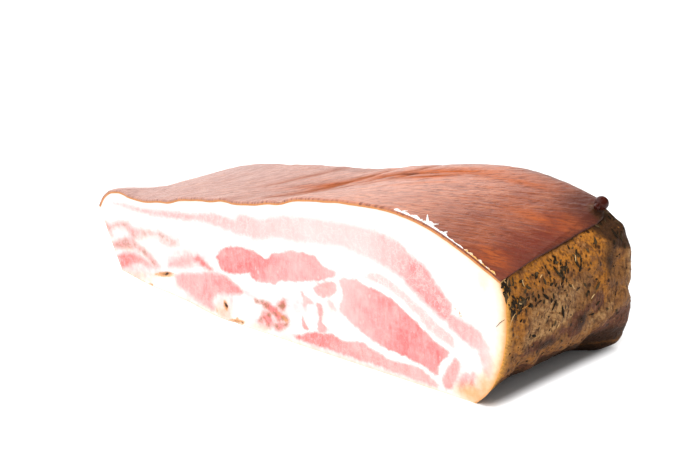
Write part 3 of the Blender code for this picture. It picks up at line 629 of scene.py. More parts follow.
def strands(paths, ups, half_width, half_thickness, corners=6, fold=0.0):
    """Closed strands. Each ring is an ellipse round its point of the path, half_width to the side and
    half_thickness along up; fold lifts its two sides by that part of half_width. paths and ups are
    (strands, rings, 3), and the half sizes are (strands, rings)."""
    ahead = unit(np.gradient(paths, axis=1))
    side = unit(np.cross(ups, ahead))
    over = np.cross(ahead, side)
    turn = np.arange(corners) * 2.0 * math.pi / corners
    wide = half_width[..., None] * np.cos(turn)
    high = half_thickness[..., None] * np.sin(turn) + fold * np.abs(wide)
    ring = paths[:, :, None] + side[:, :, None] * wide[..., None] + over[:, :, None] * high[..., None]
    count, rings = half_width.shape
    i, j = np.meshgrid(np.arange(rings - 1), np.arange(corners), indexing="ij")
    after = (j + 1) % corners
    below, above = i * corners, (i + 1) * corners
    walls = np.stack([below + j, below + after, above + after, above + j], -1)
    fan = np.array([(0, 2 * m - 1, 2 * m, 2 * m + 1) for m in range(1, corners // 2)])
    one = np.concatenate([walls.reshape(-1, 4), fan[:, ::-1], fan + (rings - 1) * corners])
    quads = one[None] + (np.arange(count) * rings * corners)[:, None, None]
    return ring.reshape(-1, 3), quads.reshape(-1, 4)


# ================================================================ the slab's surface
def rind_height(u, y):
    """Height of the rind u along the width at depth y: the front line, plus a rise that grows to the back."""
    fast = ease(0.0, THIN_DROP_DEPTH, y)
    slow = np.clip(y / RISE_DEPTH, 0.0, RISE_MOST) ** RISE_POWER
    share = ease(*DROP_TO_RISE, u)
    grown = fast * (1.0 - share) + slow * share
    return HEIGHT * (smooth_line(RIND_LINE, u) + smooth_line(RIND_RISE, u) * grown)


def thick_end(v, y, lip):
    """x of the thick end, v of the way up at depth y: its two outlines blended, with the hollow and lip."""
    back = np.clip(y / RISE_DEPTH, 0.0, RISE_MOST)
    plain = smooth_line(THICK_END, v) * (1.0 - back) + smooth_line(THICK_END_BACK, v) * back
    hollow = smooth_line(UNDERCUT, y) * np.exp(-((v / UNDERCUT_HEIGHT) ** 2))
    return plain - hollow + lip * ease(*LIP_CELLS, v)


def section(u, v, y, lip=0.0):
    """Coons patch of the section at depth y: lower edge, rind, thin end and thick end, blended by u and v."""
    low, high = np.zeros_like(u), np.ones_like(u)

    def patch(floor, rind, thin, thick, corners):
        thin_low, thin_high, thick_low, thick_high = corners
        edges = (1 - v) * floor + v * rind + (1 - u) * thin + u * thick
        below = (1 - u) * (1 - v) * thin_low + u * (1 - v) * thick_low
        return edges - (below + (1 - u) * v * thin_high + u * v * thick_high)

    # the section's corners: the thin end's lower and upper one, then the thick end's
    x00, x01, x10, x11 = xs = (-FOOT, -TIP, thick_end(low, y, lip), thick_end(high, y, lip))
    z00, z10 = smooth_line(FLOOR_LINE, 0.0), smooth_line(FLOOR_LINE, 1.0)
    z01, z11 = rind_height(low, y), rind_height(high, y)
    floor_z = np.maximum(smooth_line(FLOOR_LINE, u), 0.0)
    thin_x = -FOOT - smooth_line(THIN_END, v)
    x = patch(x00 * (1 - u) + x10 * u, x01 * (1 - u) + x11 * u, thin_x, thick_end(v, y, lip), xs)
    thin_z, thick_z = z00 * (1 - v) + z01 * v, z10 * (1 - v) + z11 * v
    z = patch(floor_z, rind_height(u, y), thin_z, thick_z, (z00, z01, z10, z11))
    return x, z


def slab_points(u, w, v, lip=0.0):
    """Place on the smooth slab of each point, as an array of rows x, y, z.

    Up to BACK_ROUND_START the section is carried straight back. After it, the depth follows a sine and the
    section draws in by one minus a cosine, which rounds the edges of the back."""
    turn = np.clip((w - BACK_ROUND_START) / (1.0 - BACK_ROUND_START), 0.0, 1.0) * BACK_ROUND_TURN
    straight = DEPTH - BACK_ROUND
    y = np.minimum(w / BACK_ROUND_START, 1.0) * straight + BACK_ROUND * np.sin(turn)
    drawn_in = 1.0 - np.cos(turn)
    shape_y = np.minimum(y, straight + BACK_ROUND_SHAPED * BACK_ROUND)
    x, z = section(u, v, shape_y, lip)
    x += (-SHIFT[0] - x) / HALF_WIDTH * BACK_ROUND_SIDE * drawn_in
    middle_z = section(u, np.full_like(v, 0.5), shape_y, lip)[1]
    half = np.maximum(middle_z - section(u, np.zeros_like(v), shape_y, lip)[1], LEAST_HALF_HEIGHT)
    z += (middle_z - z) / half * BACK_ROUND_HEIGHT * drawn_in
    bulge = (1.0 - (2.0 * u - 1.0) ** 2) * (1.0 - (2.0 * v - 1.0) ** 2)
    y += BACK_BULGE * bulge * (w > 1.0 - 1e-6)
    return np.stack([x, y, z], axis=-1)


def crease_depth(x, y):
    """Depth of the creases at (x, y): for each, a bell across its line that fades out at both ends."""
    total = np.zeros_like(x)
    for (x0, y0), (x1, y1), depth, half_width in CREASES:
        length = math.hypot(x1 - x0, y1 - y0)
        along = ((x - x0) * (x1 - x0) + (y - y0) * (y1 - y0)) / length**2
        across = ((x - x0) * (y1 - y0) - (y - y0) * (x1 - x0)) / length
        faded = ease(*CREASE_FADE, along) * ease(*CREASE_FADE, 1.0 - along)
        total += depth * np.exp(-((across / half_width) ** 2)) * faded
    return total


def edge_waves(x, y):
    """Waves along the rind's front edge: sines along x that die down behind it and end at the thick end."""
    waves = sum(h * np.sin(2.0 * math.pi * x / length + phase) for length, h, phase in EDGE_WAVES)
    behind = 1.0 - EDGE_WAVES_LOST * ease(0.0, EDGE_WAVES_DEPTH, y)
    return waves * behind * (1.0 - ease(*EDGE_WAVES_END, x))


def slanted_sines(waves, x, y, z, bend=0.0):
    """Sum of sines, each along its own slanted direction, with bend added to their phases."""
    turn = 2.0 * math.pi
    return sum(h * np.sin(turn * (a * x + b * y + c * z) + phase + bend) for (a, b, c), h, phase in waves)


def lumps(x, y, z):
    """Lumps of the smoked sides: slanted sines whose phases are bent by slower ones."""
    return slanted_sines(LUMPS, x, y, z, slanted_sines(LUMP_BENDS, x, y, z))


# ================================================================ lean, tints and relief
def closed_outline(corners):
    """Smooth closed curve through the corners: a Catmull-Rom spline with OUTLINE_STEPS points a span."""
    p1 = np.array(corners, float)
    p0, p2, p3 = np.roll(p1, 1, 0), np.roll(p1, -1, 0), np.roll(p1, -2, 0)
    t = (np.arange(OUTLINE_STEPS) / OUTLINE_STEPS)[None, :, None]
    p0, p1, p2, p3 = (p[:, None] for p in (p0, p1, p2, p3))
    curve = 0.5 * (
        2 * p1 + (p2 - p0) * t + (2 * p0 - 5 * p1 + 4 * p2 - p3) * t**2 + (3 * p1 - p0 - 3 * p2 + p3) * t**3
    )
    return curve.reshape(-1, 2)


def inside_distance(x, z, curve):
    """Distance to a closed curve, positive inside it. A point is inside if a line from it to the right
    crosses the curve an odd number of times. Points farther off than LEAN_REACH get minus LEAN_REACH."""
    found = np.full(len(x), -LEAN_REACH)
    low, high = curve.min(0) - LEAN_REACH, curve.max(0) + LEAN_REACH
    near = np.flatnonzero((x > low[0]) & (x < high[0]) & (z > low[1]) & (z < high[1]))
    px, pz = x[near, None], z[near, None]
    ax, az = curve.T
    bx, bz = np.roll(curve, -1, 0).T
    dx, dz = bx - ax, bz - az
    t = np.clip(((px - ax) * dx + (pz - az) * dz) / (dx * dx + dz * dz + 1e-12), 0.0, 1.0)
    distance = np.sqrt(((px - ax - t * dx) ** 2 + (pz - az - t * dz) ** 2).min(axis=1))
    crosses = ((az > pz) != (bz > pz)) & (px < ax + (pz - az) * dx / np.where(dz == 0.0, 1e-12, dz))
    inside = crosses.sum(axis=1) % 2 == 1
    found[near] = np.maximum(np.where(inside, distance, -distance), -LEAN_REACH)
    return found


def lean_at(x, z):
    """For points of the cut face, in millimetres: distance into the nearest lean, and how red, brown,
    veined and soft-edged that one is."""
    found = {"lean": np.full(len(x), -LEAN_REACH)}
    for name in ("red", "brown", "veins", "soft"):
        found[name] = np.zeros(len(x))
    for area in LEANS.values():
        distance = inside_distance(x, z, closed_outline(area["outline"]))
        nearest = distance > found["lean"]
        place, redness = np.array(area["red"]).T
        found["red"] = np.where(nearest, np.interp(x, place, redness), found["red"])
        for name in ("brown", "veins", "soft"):
            found[name] = np.where(nearest, area[name], found[name])
        found["lean"] = np.maximum(found["lean"], distance)
    return found


def oval(a, b, middle_a, middle_b, half_a, half_b, degrees=0.0):
    """How far out a point is in an oval: 0 in its middle, 1 on its edge. The oval is turned by degrees."""
    turn = math.radians(degrees)
    da, db = a - middle_a, b - middle_b
    along = (da * math.cos(turn) + db * math.sin(turn)) / half_a
    across = (db * math.cos(turn) - da * math.sin(turn)) / half_b
    return np.hypot(along, across)


def spots(x, z, table, sharpness):
    """The strongest of several oval spots at each point: each is flat in its middle and falls off round
    it."""
    return np.max([amount * np.exp(-oval(x, z, *shape) ** sharpness) for *shape, amount in table], axis=0)


def cones(x, z, table):
    """The highest of several oval cones at each point: each is at its amount in its middle and 0 at twice its
    half sizes."""
    highest = np.max([amount * (1.0 - 0.5 * oval(x, z, *shape)) for *shape, amount in table], axis=0)
    return np.maximum(highest, 0.0)


def warm_edges(u, v, x, z):
    """Smoke stain on the cut face: from each edge it dies out with the distance, in millimetres, from it."""
    none, full = np.zeros_like(u), np.ones_like(u)
    inward = {
        "thick": section(full, v, none)[0] / MM - x,
        "rind": (section(u, full, none)[1] / MM - z) / np.interp(x, *RIND_EDGE_WIDENS),
        "floor": z - section(u, none, none)[1] / MM,
        "thin": x - section(none, v, none)[0] / MM,
    }
    stains = []
    for edge, (reach, strength) in WARM_EDGES.items():
        stains.append(strength * np.exp(-np.maximum(inward[edge], 0.0) / reach))
    return np.max(stains, axis=0)


def thick_end_tints(y, z):
    """Golden, dusty and dark shares of the smoked thick end, and the distance into its lean, in
    millimetres. The dark share is mostly painted shade, and the dusty one holds a painted rim light at the
    far edge."""
    tints = {tint: spots(y, z, table, SPOT_SHARPNESS) for tint, table in THICK_END_TINTS.items()}
    lean = np.max([(1.0 - oval(y, z, *shape)) * min(shape[2:4]) for shape in THICK_END_LEANS], axis=0)
    return tints, np.maximum(lean, -LEAN_REACH)


# Waves that swing the lean along x and z behind the cut: height in millimetres, turns along w and u, phase
LEAN_SWINGS = ((10.0, 5.5, 2.0, 0.4), (2.5, 6.5, 9.0, 2.0))
LEAN_UNDER = 3.2  # the underside shows the lean of this height, in millimetres
BEHIND_CUT = {"warm": 1.0, "burnt": 0.0, "flush": 0.2, "creamy": 0.3}  # what is drawn on the cut, elsewhere
# Tints of the other smoked sides: everywhere, added from one height to another, added by a noise (size, seed)
SIDE_TINTS = {
    "gold": (0.30, 0.45, (0.50, 0.90), 0.45, (0.021, 7)),
    "dust_and_rim_light": (0.35, 0.0, (0.0, 1.0), 0.50, (0.017, 12)),
    # painted shade: darker towards the floor, with random dark patches
    "shade": (0.28, -0.30, (0.0, 0.45), 0.40, (0.026, 17)),
}
THICK_END_GOLD = (0.10, 0.20)  # gold of the thick end: everywhere, and by the noise of the sides' gold


def body_values(u, w, v, place):
    """Everything that the body's materials read, a value a point. On the cut face it is the drawn pattern; on
    the other smoked sides the same lean runs on, swung aside by slow waves; the thick end has its own."""
    front_x, front_z = (part / MM for part in section(u, v, np.zeros_like(u)))
    front_z = np.where((v < ON_SIDE) & (w > 0), LEAN_UNDER, front_z)
    swing_x, swing_z = (h * np.sin(a * w + b * u + phase) * w for h, a, b, phase in LEAN_SWINGS)
    values = lean_at(front_x + swing_x, front_z + swing_z)
    x, y, z = place.T / MM
    on_cut = w < ON_SIDE
    drawn = {
        "warm": np.maximum(warm_edges(u, v, x, z), spots(x, z, WARM_SPOTS, SPOT_SHARPNESS)),
        "burnt": cones(x, z, BROWN_SPOTS),
        "flush": spots(x, z, FLUSHES, SPOT_SHARPNESS),
        "creamy": spots(x, z, CREAMY_SPOTS, SPOT_SHARPNESS),
    }
    for name, value in drawn.items():
        values[name] = np.where(on_cut, value, BEHIND_CUT[name])

    on_thick = u > 1.0 - ON_SIDE
    tints, thick_lean = thick_end_tints(y, z)
    plain, patchy = THICK_END_GOLD
    patches = rough_noise(place, *SIDE_TINTS["gold"][-1])
    tints["gold"] = np.clip(plain + tints["gold"] + patchy * patches, 0.0, 1.0)
    for tint, (plain, risen, heights, patchy, noise) in SIDE_TINTS.items():
        sides = plain + risen * ease(*heights, v) + patchy * rough_noise(place, *noise)
        values[tint] = np.where(on_thick, tints[tint], np.clip(sides, 0.0, 1.0))
    values["lean"] = np.where(on_thick & ~on_cut, thick_lean, values["lean"])
    values["glow"] = np.where(on_thick, np.exp(-np.maximum(y, 0.0) / GLOW_REACH), 0.0)
    return values


# Relief. Noises are given as size, seed and, where it isn't three, the number of octaves
CRAGS, FINE_CRAGS = (0.0062, 21), (0.0021, 31, 2)
FINE_CRAGS_SHARE = 0.35  # height of the fine ones, on the thick end alone, as a part of the others'
CRAGS_BEHIND, CRAGS_ABOVE, CRAGS_BELOW = (0.0, 0.004), (0.0, 0.002), (0.93, 1.0)
LEAN_STEP = (-0.6, 1.2)  # from fat down to lean, by the distance into the lean in millimetres
CUT_GRAIN, CUT_GRAIN_HEIGHT = (0.0030, 41), 0.00005
RELIEF_FROM_ENDS, RELIEF_FROM_RIND = 0.02, 0.03  # the cut's relief grows over this much of u and v


def body_relief(u, w, v, place, values):
    """How far each point stands out along its normal. Smoked sides: the solid's lumps and crags of three
    sizes, dying out at the cut and under the rind. Cut face: lean a little below fat, and the slits."""
    x, y, z = place.T
    smoked = ease(*LUMPS_BEHIND, y) * ease(*LUMPS_ABOVE, z) * (1.0 - ease(*LUMPS_BELOW, v))
    crags = rough_noise(place, *CRAGS)
    crags += (u > 1.0 - ON_SIDE) * FINE_CRAGS_SHARE * rough_noise(place, *FINE_CRAGS)
    near_edge = ease(*CRAGS_BEHIND, y) * ease(*CRAGS_ABOVE, z) * (1.0 - ease(*CRAGS_BELOW, v))
    sides = lumps(x, y, z) * smoked + crags * sizes().crust_roughness * near_edge
    cut = CUT_GRAIN_HEIGHT * rough_noise(place, *CUT_GRAIN)
    cut -= sizes().cut_relief * ease(*LEAN_STEP, values["lean"])
    for middle, (half_length, half_height, depth), turn in DENTS:
        out = oval(x, z, *middle, half_length, half_height * SLIT_OPEN, math.degrees(turn))
        cut -= SLIT_DEPTH * depth * np.clip(1.0 - out**2, 0.0, 1.0)
    middle, half, stands_out = NODULE
    cut += stands_out * np.clip(1.0 - oval(x, z, *middle, *half) ** 2, 0.0, 1.0)
    from_ends = ease(0.0, RELIEF_FROM_ENDS, np.minimum(u, 1.0 - u))
    inner = np.minimum(from_ends, ease(0.0, RELIEF_FROM_RIND, 1.0 - v))
    return np.where(w < ON_SIDE, cut * inner, sides)


# ================================================================ materials
def put(tree, kind, sockets=(), **settings):
    """Adds a node. Each socket is (name or number, value or the output that feeds it)."""
    node = tree.nodes.new(kind)
    node.location = (220 * (len(tree.nodes) % 12), -260 * (len(tree.nodes) // 12))
    for name, value in settings.items():
        setattr(node, name, value)
    for key, value in sockets:
        if isinstance(value, bpy.types.NodeSocket):
            tree.links.new(value, node.inputs[key])
        else:
            node.inputs[key].default_value = value
    return node


def calculate(tree, operation, *values):
    return put(tree, "ShaderNodeMath", tuple(enumerate(values)), operation=operation).outputs[0]


def linear(tree, value, factor, added):
    return calculate(tree, "MULTIPLY_ADD", value, factor, added)


def times(tree, first, second):
    return calculate(tree, "MULTIPLY", first, second)


def plus(tree, first, second):
    return calculate(tree, "ADD", first, second)


def rescale(tree, value, low, high, to_low=0.0, to_high=1.0):
    """Soft step of a value from low to high."""
    sockets = ((0, value), (1, low), (2, high), (3, to_low), (4, to_high))
    return put(tree, "ShaderNodeMapRange", sockets, interpolation_type="SMOOTHSTEP").outputs[0]


def blend(tree, share, first, second, way="MIX"):
    sockets = ((0, share), (6, first), (7, second))
    return put(tree, "ShaderNodeMix", sockets, data_type="RGBA", blend_type=way).outputs[2]


def lay(tree, base, name, value, low, high, most=1.0):
    """Lays a colour over the base, none of it where a value is low and most of it where the value is high."""
    return blend(tree, rescale(tree, value, low, high, 0.0, most), base, colour(name))


def attribute(tree, name, vector=False):
    node = put(tree, "ShaderNodeAttribute", attribute_name=name)
    return node.outputs["Vector" if vector else "Fac"]


def object_place(tree):
    return put(tree, "ShaderNodeTexCoord").outputs["Object"]


def group(name, inputs, outputs, fill):
    """A node group, made once. inputs and outputs are (name, kind, default); fill makes its inside and gives
    what feeds each output."""
    if name in bpy.data.node_groups:
        return bpy.data.node_groups[name]
    tree = bpy.data.node_groups.new(name, "ShaderNodeTree")
    for label, kind, default in inputs:
        socket = tree.interface.new_socket(name=label, in_out="INPUT", socket_type=f"NodeSocket{kind}")
        if default is not None:
            socket.default_value = default
    for label, kind in outputs:
        tree.interface.new_socket(name=label, in_out="OUTPUT", socket_type=f"NodeSocket{kind}")
    entry = tree.nodes.new("NodeGroupInput")
    leave = tree.nodes.new("NodeGroupOutput")
    for label, value in fill(tree, entry.outputs).items():
        tree.links.new(value, leave.inputs[label])
    return tree


def use(tree, made, **sockets):
    """Places a node group, with its sockets named by words joined with an underscore."""
    node = tree.nodes.new("ShaderNodeGroup")
    node.node_tree = made
    node.location = (220 * (len(tree.nodes) % 12), -260 * (len(tree.nodes) // 12))
    for key, value in sockets.items():
        socket = node.inputs[key.replace("_", " ")]
        if isinstance(value, bpy.types.NodeSocket):
            tree.links.new(value, socket)
        else:
            socket.default_value = value
    return node.outputs


PATTERN_INPUTS = (("Vector", "Vector", None), ("Size", "Float", 0.001))
STRETCHED_INPUTS = (*PATTERN_INPUTS, ("Stretch", "Vector", (1.0, 1.0, 1.0)))


def stretched(tree, entry):
    """The sockets of a pattern: the group's Vector times its Stretch, and one over its Size as the scale."""
    sockets = ((0, entry["Vector"]), (1, entry["Stretch"]))
    place = put(tree, "ShaderNodeVectorMath", sockets, operation="MULTIPLY").outputs[0]
    return ("Vector", place), ("Scale", calculate(tree, "DIVIDE", 1.0, entry["Size"]))


def uneven_group():
    """Cloudy value from 0 to 1: noise with cells of Size metres, its contrast raised about its middle."""

    def fill(tree, entry):
        sockets = (*stretched(tree, entry), ("Detail", 3.0), ("Roughness", 0.6))
        noise = put(tree, "ShaderNodeTexNoise", sockets)
        off = calculate(tree, "SUBTRACT", noise.outputs[0], 0.5)
        value = linear(tree, off, entry["Contrast"], 0.5)
        return {"Value": put(tree, "ShaderNodeClamp", ((0, value),)).outputs[0]}

    return group("uneven tone", (*STRETCHED_INPUTS, ("Contrast", "Float", 1.5)), (("Value", "Float"),), fill)


def flecks_group():
    """Small flecks: in a Share of the cells of a Voronoi pattern, a round spot about the cell's middle."""

    def fill(tree, entry):
        cells = put(tree, "ShaderNodeTexVoronoi", stretched(tree, entry))
        parts = put(tree, "ShaderNodeSeparateColor", ((0, cells.outputs["Color"]),))
        chosen = calculate(tree, "LESS_THAN", parts.outputs[0], entry["Share"])
        return {"Mask": times(tree, chosen, rescale(tree, cells.outputs["Distance"], 0.46, 0.22))}

    return group("flecks", (*STRETCHED_INPUTS, ("Share", "Float", 0.2)), (("Mask", "Float"),), fill)


def grain_group():
    """Height of a fine grain: noise of Size metres over smooth bumps three times as large."""

    def fill(tree, entry):
        place = ("Vector", entry["Vector"])
        scale = calculate(tree, "DIVIDE", 1.0, entry["Size"])
        fine = put(tree, "ShaderNodeTexNoise", (place, ("Scale", scale), ("Detail", 2.0)))
        coarse_scale = calculate(tree, "DIVIDE", scale, 3.0)
        coarse = put(tree, "ShaderNodeTexVoronoi", (place, ("Scale", coarse_scale)), feature="SMOOTH_F1")
        bumps = times(tree, coarse.outputs["Distance"], 0.7)
        return {"Height": plus(tree, fine.outputs[0], bumps)}

    return group("fine grain", PATTERN_INPUTS, (("Height", "Float"),), fill)


def uneven(tree, place, size, contrast, stretch=(1.0, 1.0, 1.0)):
    return use(tree, uneven_group(), Vector=place, Size=size, Stretch=stretch, Contrast=contrast)["Value"]


def flecks_at(tree, place, size, share, stretch=(1.0, 1.0, 1.0)):
    return use(tree, flecks_group(), Vector=place, Size=size, Stretch=stretch, Share=share)["Mask"]


def grain_at(tree, place, size):
    return use(tree, grain_group(), Vector=place, Size=size)["Height"]


SCATTER_COLOUR, SCATTER_REACH = (1.0, 0.45, 0.35), 0.0016  # how light spreads inside meat and fat


def new_material(name, roughness, specular=0.5, subsurface=0.0):
    """An empty Principled material with its constant numbers on its own sockets."""
    made = bpy.data.materials.new(name)
    made.use_nodes = True
    shader = made.node_tree.nodes["Principled BSDF"]
    shader.inputs["Roughness"].default_value = roughness
    shader.inputs["Specular IOR Level"].default_value = specular
    if subsurface > 0.0:
        shader.inputs["Subsurface Weight"].default_value = subsurface
        shader.inputs["Subsurface Radius"].default_value = SCATTER_COLOUR
        shader.inputs["Subsurface Scale"].default_value = SCATTER_REACH
    return made, made.node_tree, shader


def finish_material(tree, shader, base, height, bump, distance, roughness=None):
    """Joins the colour, the bump's height and, where it varies, the roughness to the shader."""
    tree.links.new(base, shader.inputs["Base Color"])
    sockets = (("Strength", bump), ("Distance", distance), ("Height", height))
    tree.links.new(put(tree, "ShaderNodeBump", sockets).outputs[0], shader.inputs["Normal"])
    if roughness is not None:
        tree.links.new(roughness, shader.inputs["Roughness"])


def vein_lines(tree, place, size, half_width, stretch=(1.0, 1.0, 1.0)):
    """Thin wandering lines, where a noise of the given size is within half_width of its middle."""
    noise = uneven(tree, place, size, 1.0, stretch)
    off = calculate(tree, "ABSOLUTE", calculate(tree, "SUBTRACT", noise, 0.5))
    return rescale(tree, off, half_width, 0.1 * half_width)


def fresh_cut():
    """Cut meat: ragged lean in fat by the distance into it, with faint upright fibres and veins of fat, a
    pink flush in the fat beside it, a warm stain at the smoked edges and burnt slits."""
    made, tree, shader = new_material("fresh_cut", 0.45, specular=0.3, subsurface=0.18)
    place = object_place(tree)
    ragged = uneven(tree, place, 0.0026, 1.6)
    teeth = uneven(tree, place, 0.0008, 1.6)
    swing = linear(tree, ragged, 1.5, -0.75)
    swing = plus(tree, swing, linear(tree, teeth, 0.6, -0.3))
    lean = plus(tree, attribute(tree, "lean"), swing)
    soft = attribute(tree, "soft")
    low = linear(tree, soft, -1.0, -0.35)
    high = linear(tree, soft, 1.6, 0.45)
    inside = rescale(tree, lean, low, high)

    fibre = uneven(tree, place, 0.0015, 2.2, (1.0, 1.0, 0.24))
    cloud = uneven(tree, place, 0.0115, 2.2, (0.8, 1.0, 1.2))
    mottle = uneven(tree, place, 0.0034, 2.2)
    broad, narrow = vein_lines(tree, place, 0.0060, 0.030), vein_lines(tree, place, 0.0025, 0.022)
    veins = times(tree, calculate(tree, "MAXIMUM", broad, narrow), attribute(tree, "veins"))
    flecks = flecks_at(tree, place, 0.0017, 0.30, (1.0, 1.0, 0.55))
    flecks = times(tree, flecks, rescale(tree, mottle, 0.45, 0.85))
    veins = calculate(tree, "MAXIMUM", veins, times(tree, flecks, 0.60))
    red = attribute(tree, "red")
    red = times(tree, red, linear(tree, fibre, -0.26, 1.13))
    red = times(tree, red, linear(tree, cloud, 0.34, 0.86))
    red = times(tree, red, linear(tree, mottle, 0.22, 0.90))
    red = times(tree, red, linear(tree, veins, -0.62, 1.0))
    meat = blend(tree, red, colour("lean_pale"), colour("lean_deep"))
    browned = times(tree, attribute(tree, "brown"), rescale(tree, mottle, 0.2, 0.8))
    meat = blend(tree, browned, meat, colour("lean_brown"))

    creamy = linear(tree, cloud, 0.30, -0.06)
    creamy = plus(tree, creamy, times(tree, attribute(tree, "creamy"), mottle))
    fat = blend(tree, creamy, colour("fat"), colour("fat_cream"))
    nearby = rescale(tree, lean, -2.2, 0.3, 0.0, 0.10)
    patchy = linear(tree, ragged, 0.9, 0.35)
    flush = linear(tree, times(tree, attribute(tree, "flush"), patchy), 0.62, nearby)
    fat = blend(tree, flush, fat, colour("lean_deep"))
    base = blend(tree, inside, fat, meat)

    stain = plus(tree, attribute(tree, "warm"), linear(tree, ragged, 0.16, -0.08))
    base = blend(tree, rescale(tree, stain, 0.06, 0.80, 0.0, 0.92), base, colour("glow"), "MULTIPLY")
    base = lay(tree, base, "amber", stain, 0.55, 1.05)
    burnt = plus(tree, attribute(tree, "burnt"), linear(tree, teeth, 0.36, -0.18))
    base = lay(tree, base, "amber", burnt, 0.10, 0.50, 0.85)
    base = lay(tree, base, "burnt", burnt, 0.45, 0.85)

    grain = grain_at(tree, place, 0.0007)
    height = linear(tree, inside, -0.6, grain)
    height = linear(tree, fibre, 0.4, height)
    wet = linear(tree, mottle, 0.16, 0.36)
    finish_material(tree, shader, base, height, 0.35, 0.00022, wet)
    return made


def smoked_crust():
    """Smoked sides: golden to brown fat, amber beside the cut, with dusty and lean patches, painted shade on
    the far, low and under parts with some darker crust, a painted rim light at the thick end's far edge, fine
    slanted fibres, dark strokes and pepper."""
    made, tree, shader = new_material("smoked_crust", 0.6, specular=0.09)
    place = object_place(tree)
    slanted = put(
        tree, "ShaderNodeVectorRotate", (("Vector", place), ("Angle", FIBRE_SLANT)), rotation_type="X_AXIS"
    ).outputs[0]
    cloud = uneven(tree, place, 0.0060, 2.4)
    fine = uneven(tree, place, 0.0014, 2.6, (1.0, 1.0, 0.45))
    fibre = uneven(tree, slanted, 0.0011, 2.8, (0.8, 0.22, 1.0))
    smear = uneven(tree, slanted, 0.0042, 2.6, (0.8, 0.35, 1.0))
    golden = plus(tree, attribute(tree, "gold"), linear(tree, smear, 0.9, -0.45))
    base = blend(tree, rescale(tree, golden, 0.10, 0.80), colour("crust_brown"), colour("crust_gold"))
    # dust, and at the thick end's far edge a painted rim light
    dust_and_rim_lit = plus(tree, attribute(tree, "dust_and_rim_light"), linear(tree, smear, 0.5, -0.30))
    dust_and_rim_lit = times(tree, dust_and_rim_lit, linear(tree, fibre, 0.8, 0.35))
    base = lay(tree, base, "crust_dust_and_rim_light", dust_and_rim_lit, 0.02, 0.95)
    swing = linear(tree, cloud, 3.4, -1.7)
    lean = plus(tree, attribute(tree, "lean"), swing)
    meat = blend(tree, fibre, colour("crust_lean"), colour("crust_lean_pale"))
    base = blend(tree, rescale(tree, lean, -0.6, 1.0, 0.0, 0.95), base, meat)
    mottle = uneven(tree, slanted, 0.0024, 3.2, (0.8, 0.7, 0.8))
    base = lay(tree, base, "crust_shadow", mottle, 0.55, 0.05, 0.72)
    base = lay(tree, base, "crust_dark", fine, 0.42, 0.95, 0.66)
    base = lay(tree, base, "crust_shadow", fibre, 0.55, 0.0, 0.42)
    light = times(tree, rescale(tree, fine, 0.35, 0.05), rescale(tree, cloud, 0.3, 0.8))
    base = blend(tree, times(tree, light, 0.40), base, colour("crust_dust_and_rim_light"))
    # painted shade, mostly of the far, low and under parts, laid as the darkest crust colour
    dark = plus(tree, attribute(tree, "shade"), linear(tree, smear, 0.5, -0.25))
    base = lay(tree, base, "crust_dark", dark, 0.15, 1.0, 0.90)
    strokes = flecks_at(tree, slanted, 0.0015, 0.26, (0.8, 1.0, 0.40))
    pepper = flecks_at(tree, place, 0.0026, 0.14)
    strokes = times(tree, strokes, rescale(tree, cloud, 0.2, 0.7, 0.2, 0.85))
    marks = calculate(tree, "MAXIMUM", strokes, times(tree, pepper, 0.9))
    base = blend(tree, marks, base, colour("crust_dark"))
    glow = times(tree, attribute(tree, "glow"), linear(tree, fibre, -0.5, 1.15))
    base = lay(tree, base, "crust_glow", glow, 0.15, 0.90, 0.95)
    grain = grain_at(tree, place, 0.0009)
    height = linear(tree, fine, -0.8, grain)
    height = linear(tree, fibre, 0.8, height)
    height = linear(tree, marks, 0.5, height)
    greasy = linear(tree, cloud, 0.25, 0.42)
    finish_material(tree, shader, base, height, 0.7, 0.0005, greasy)
    return made


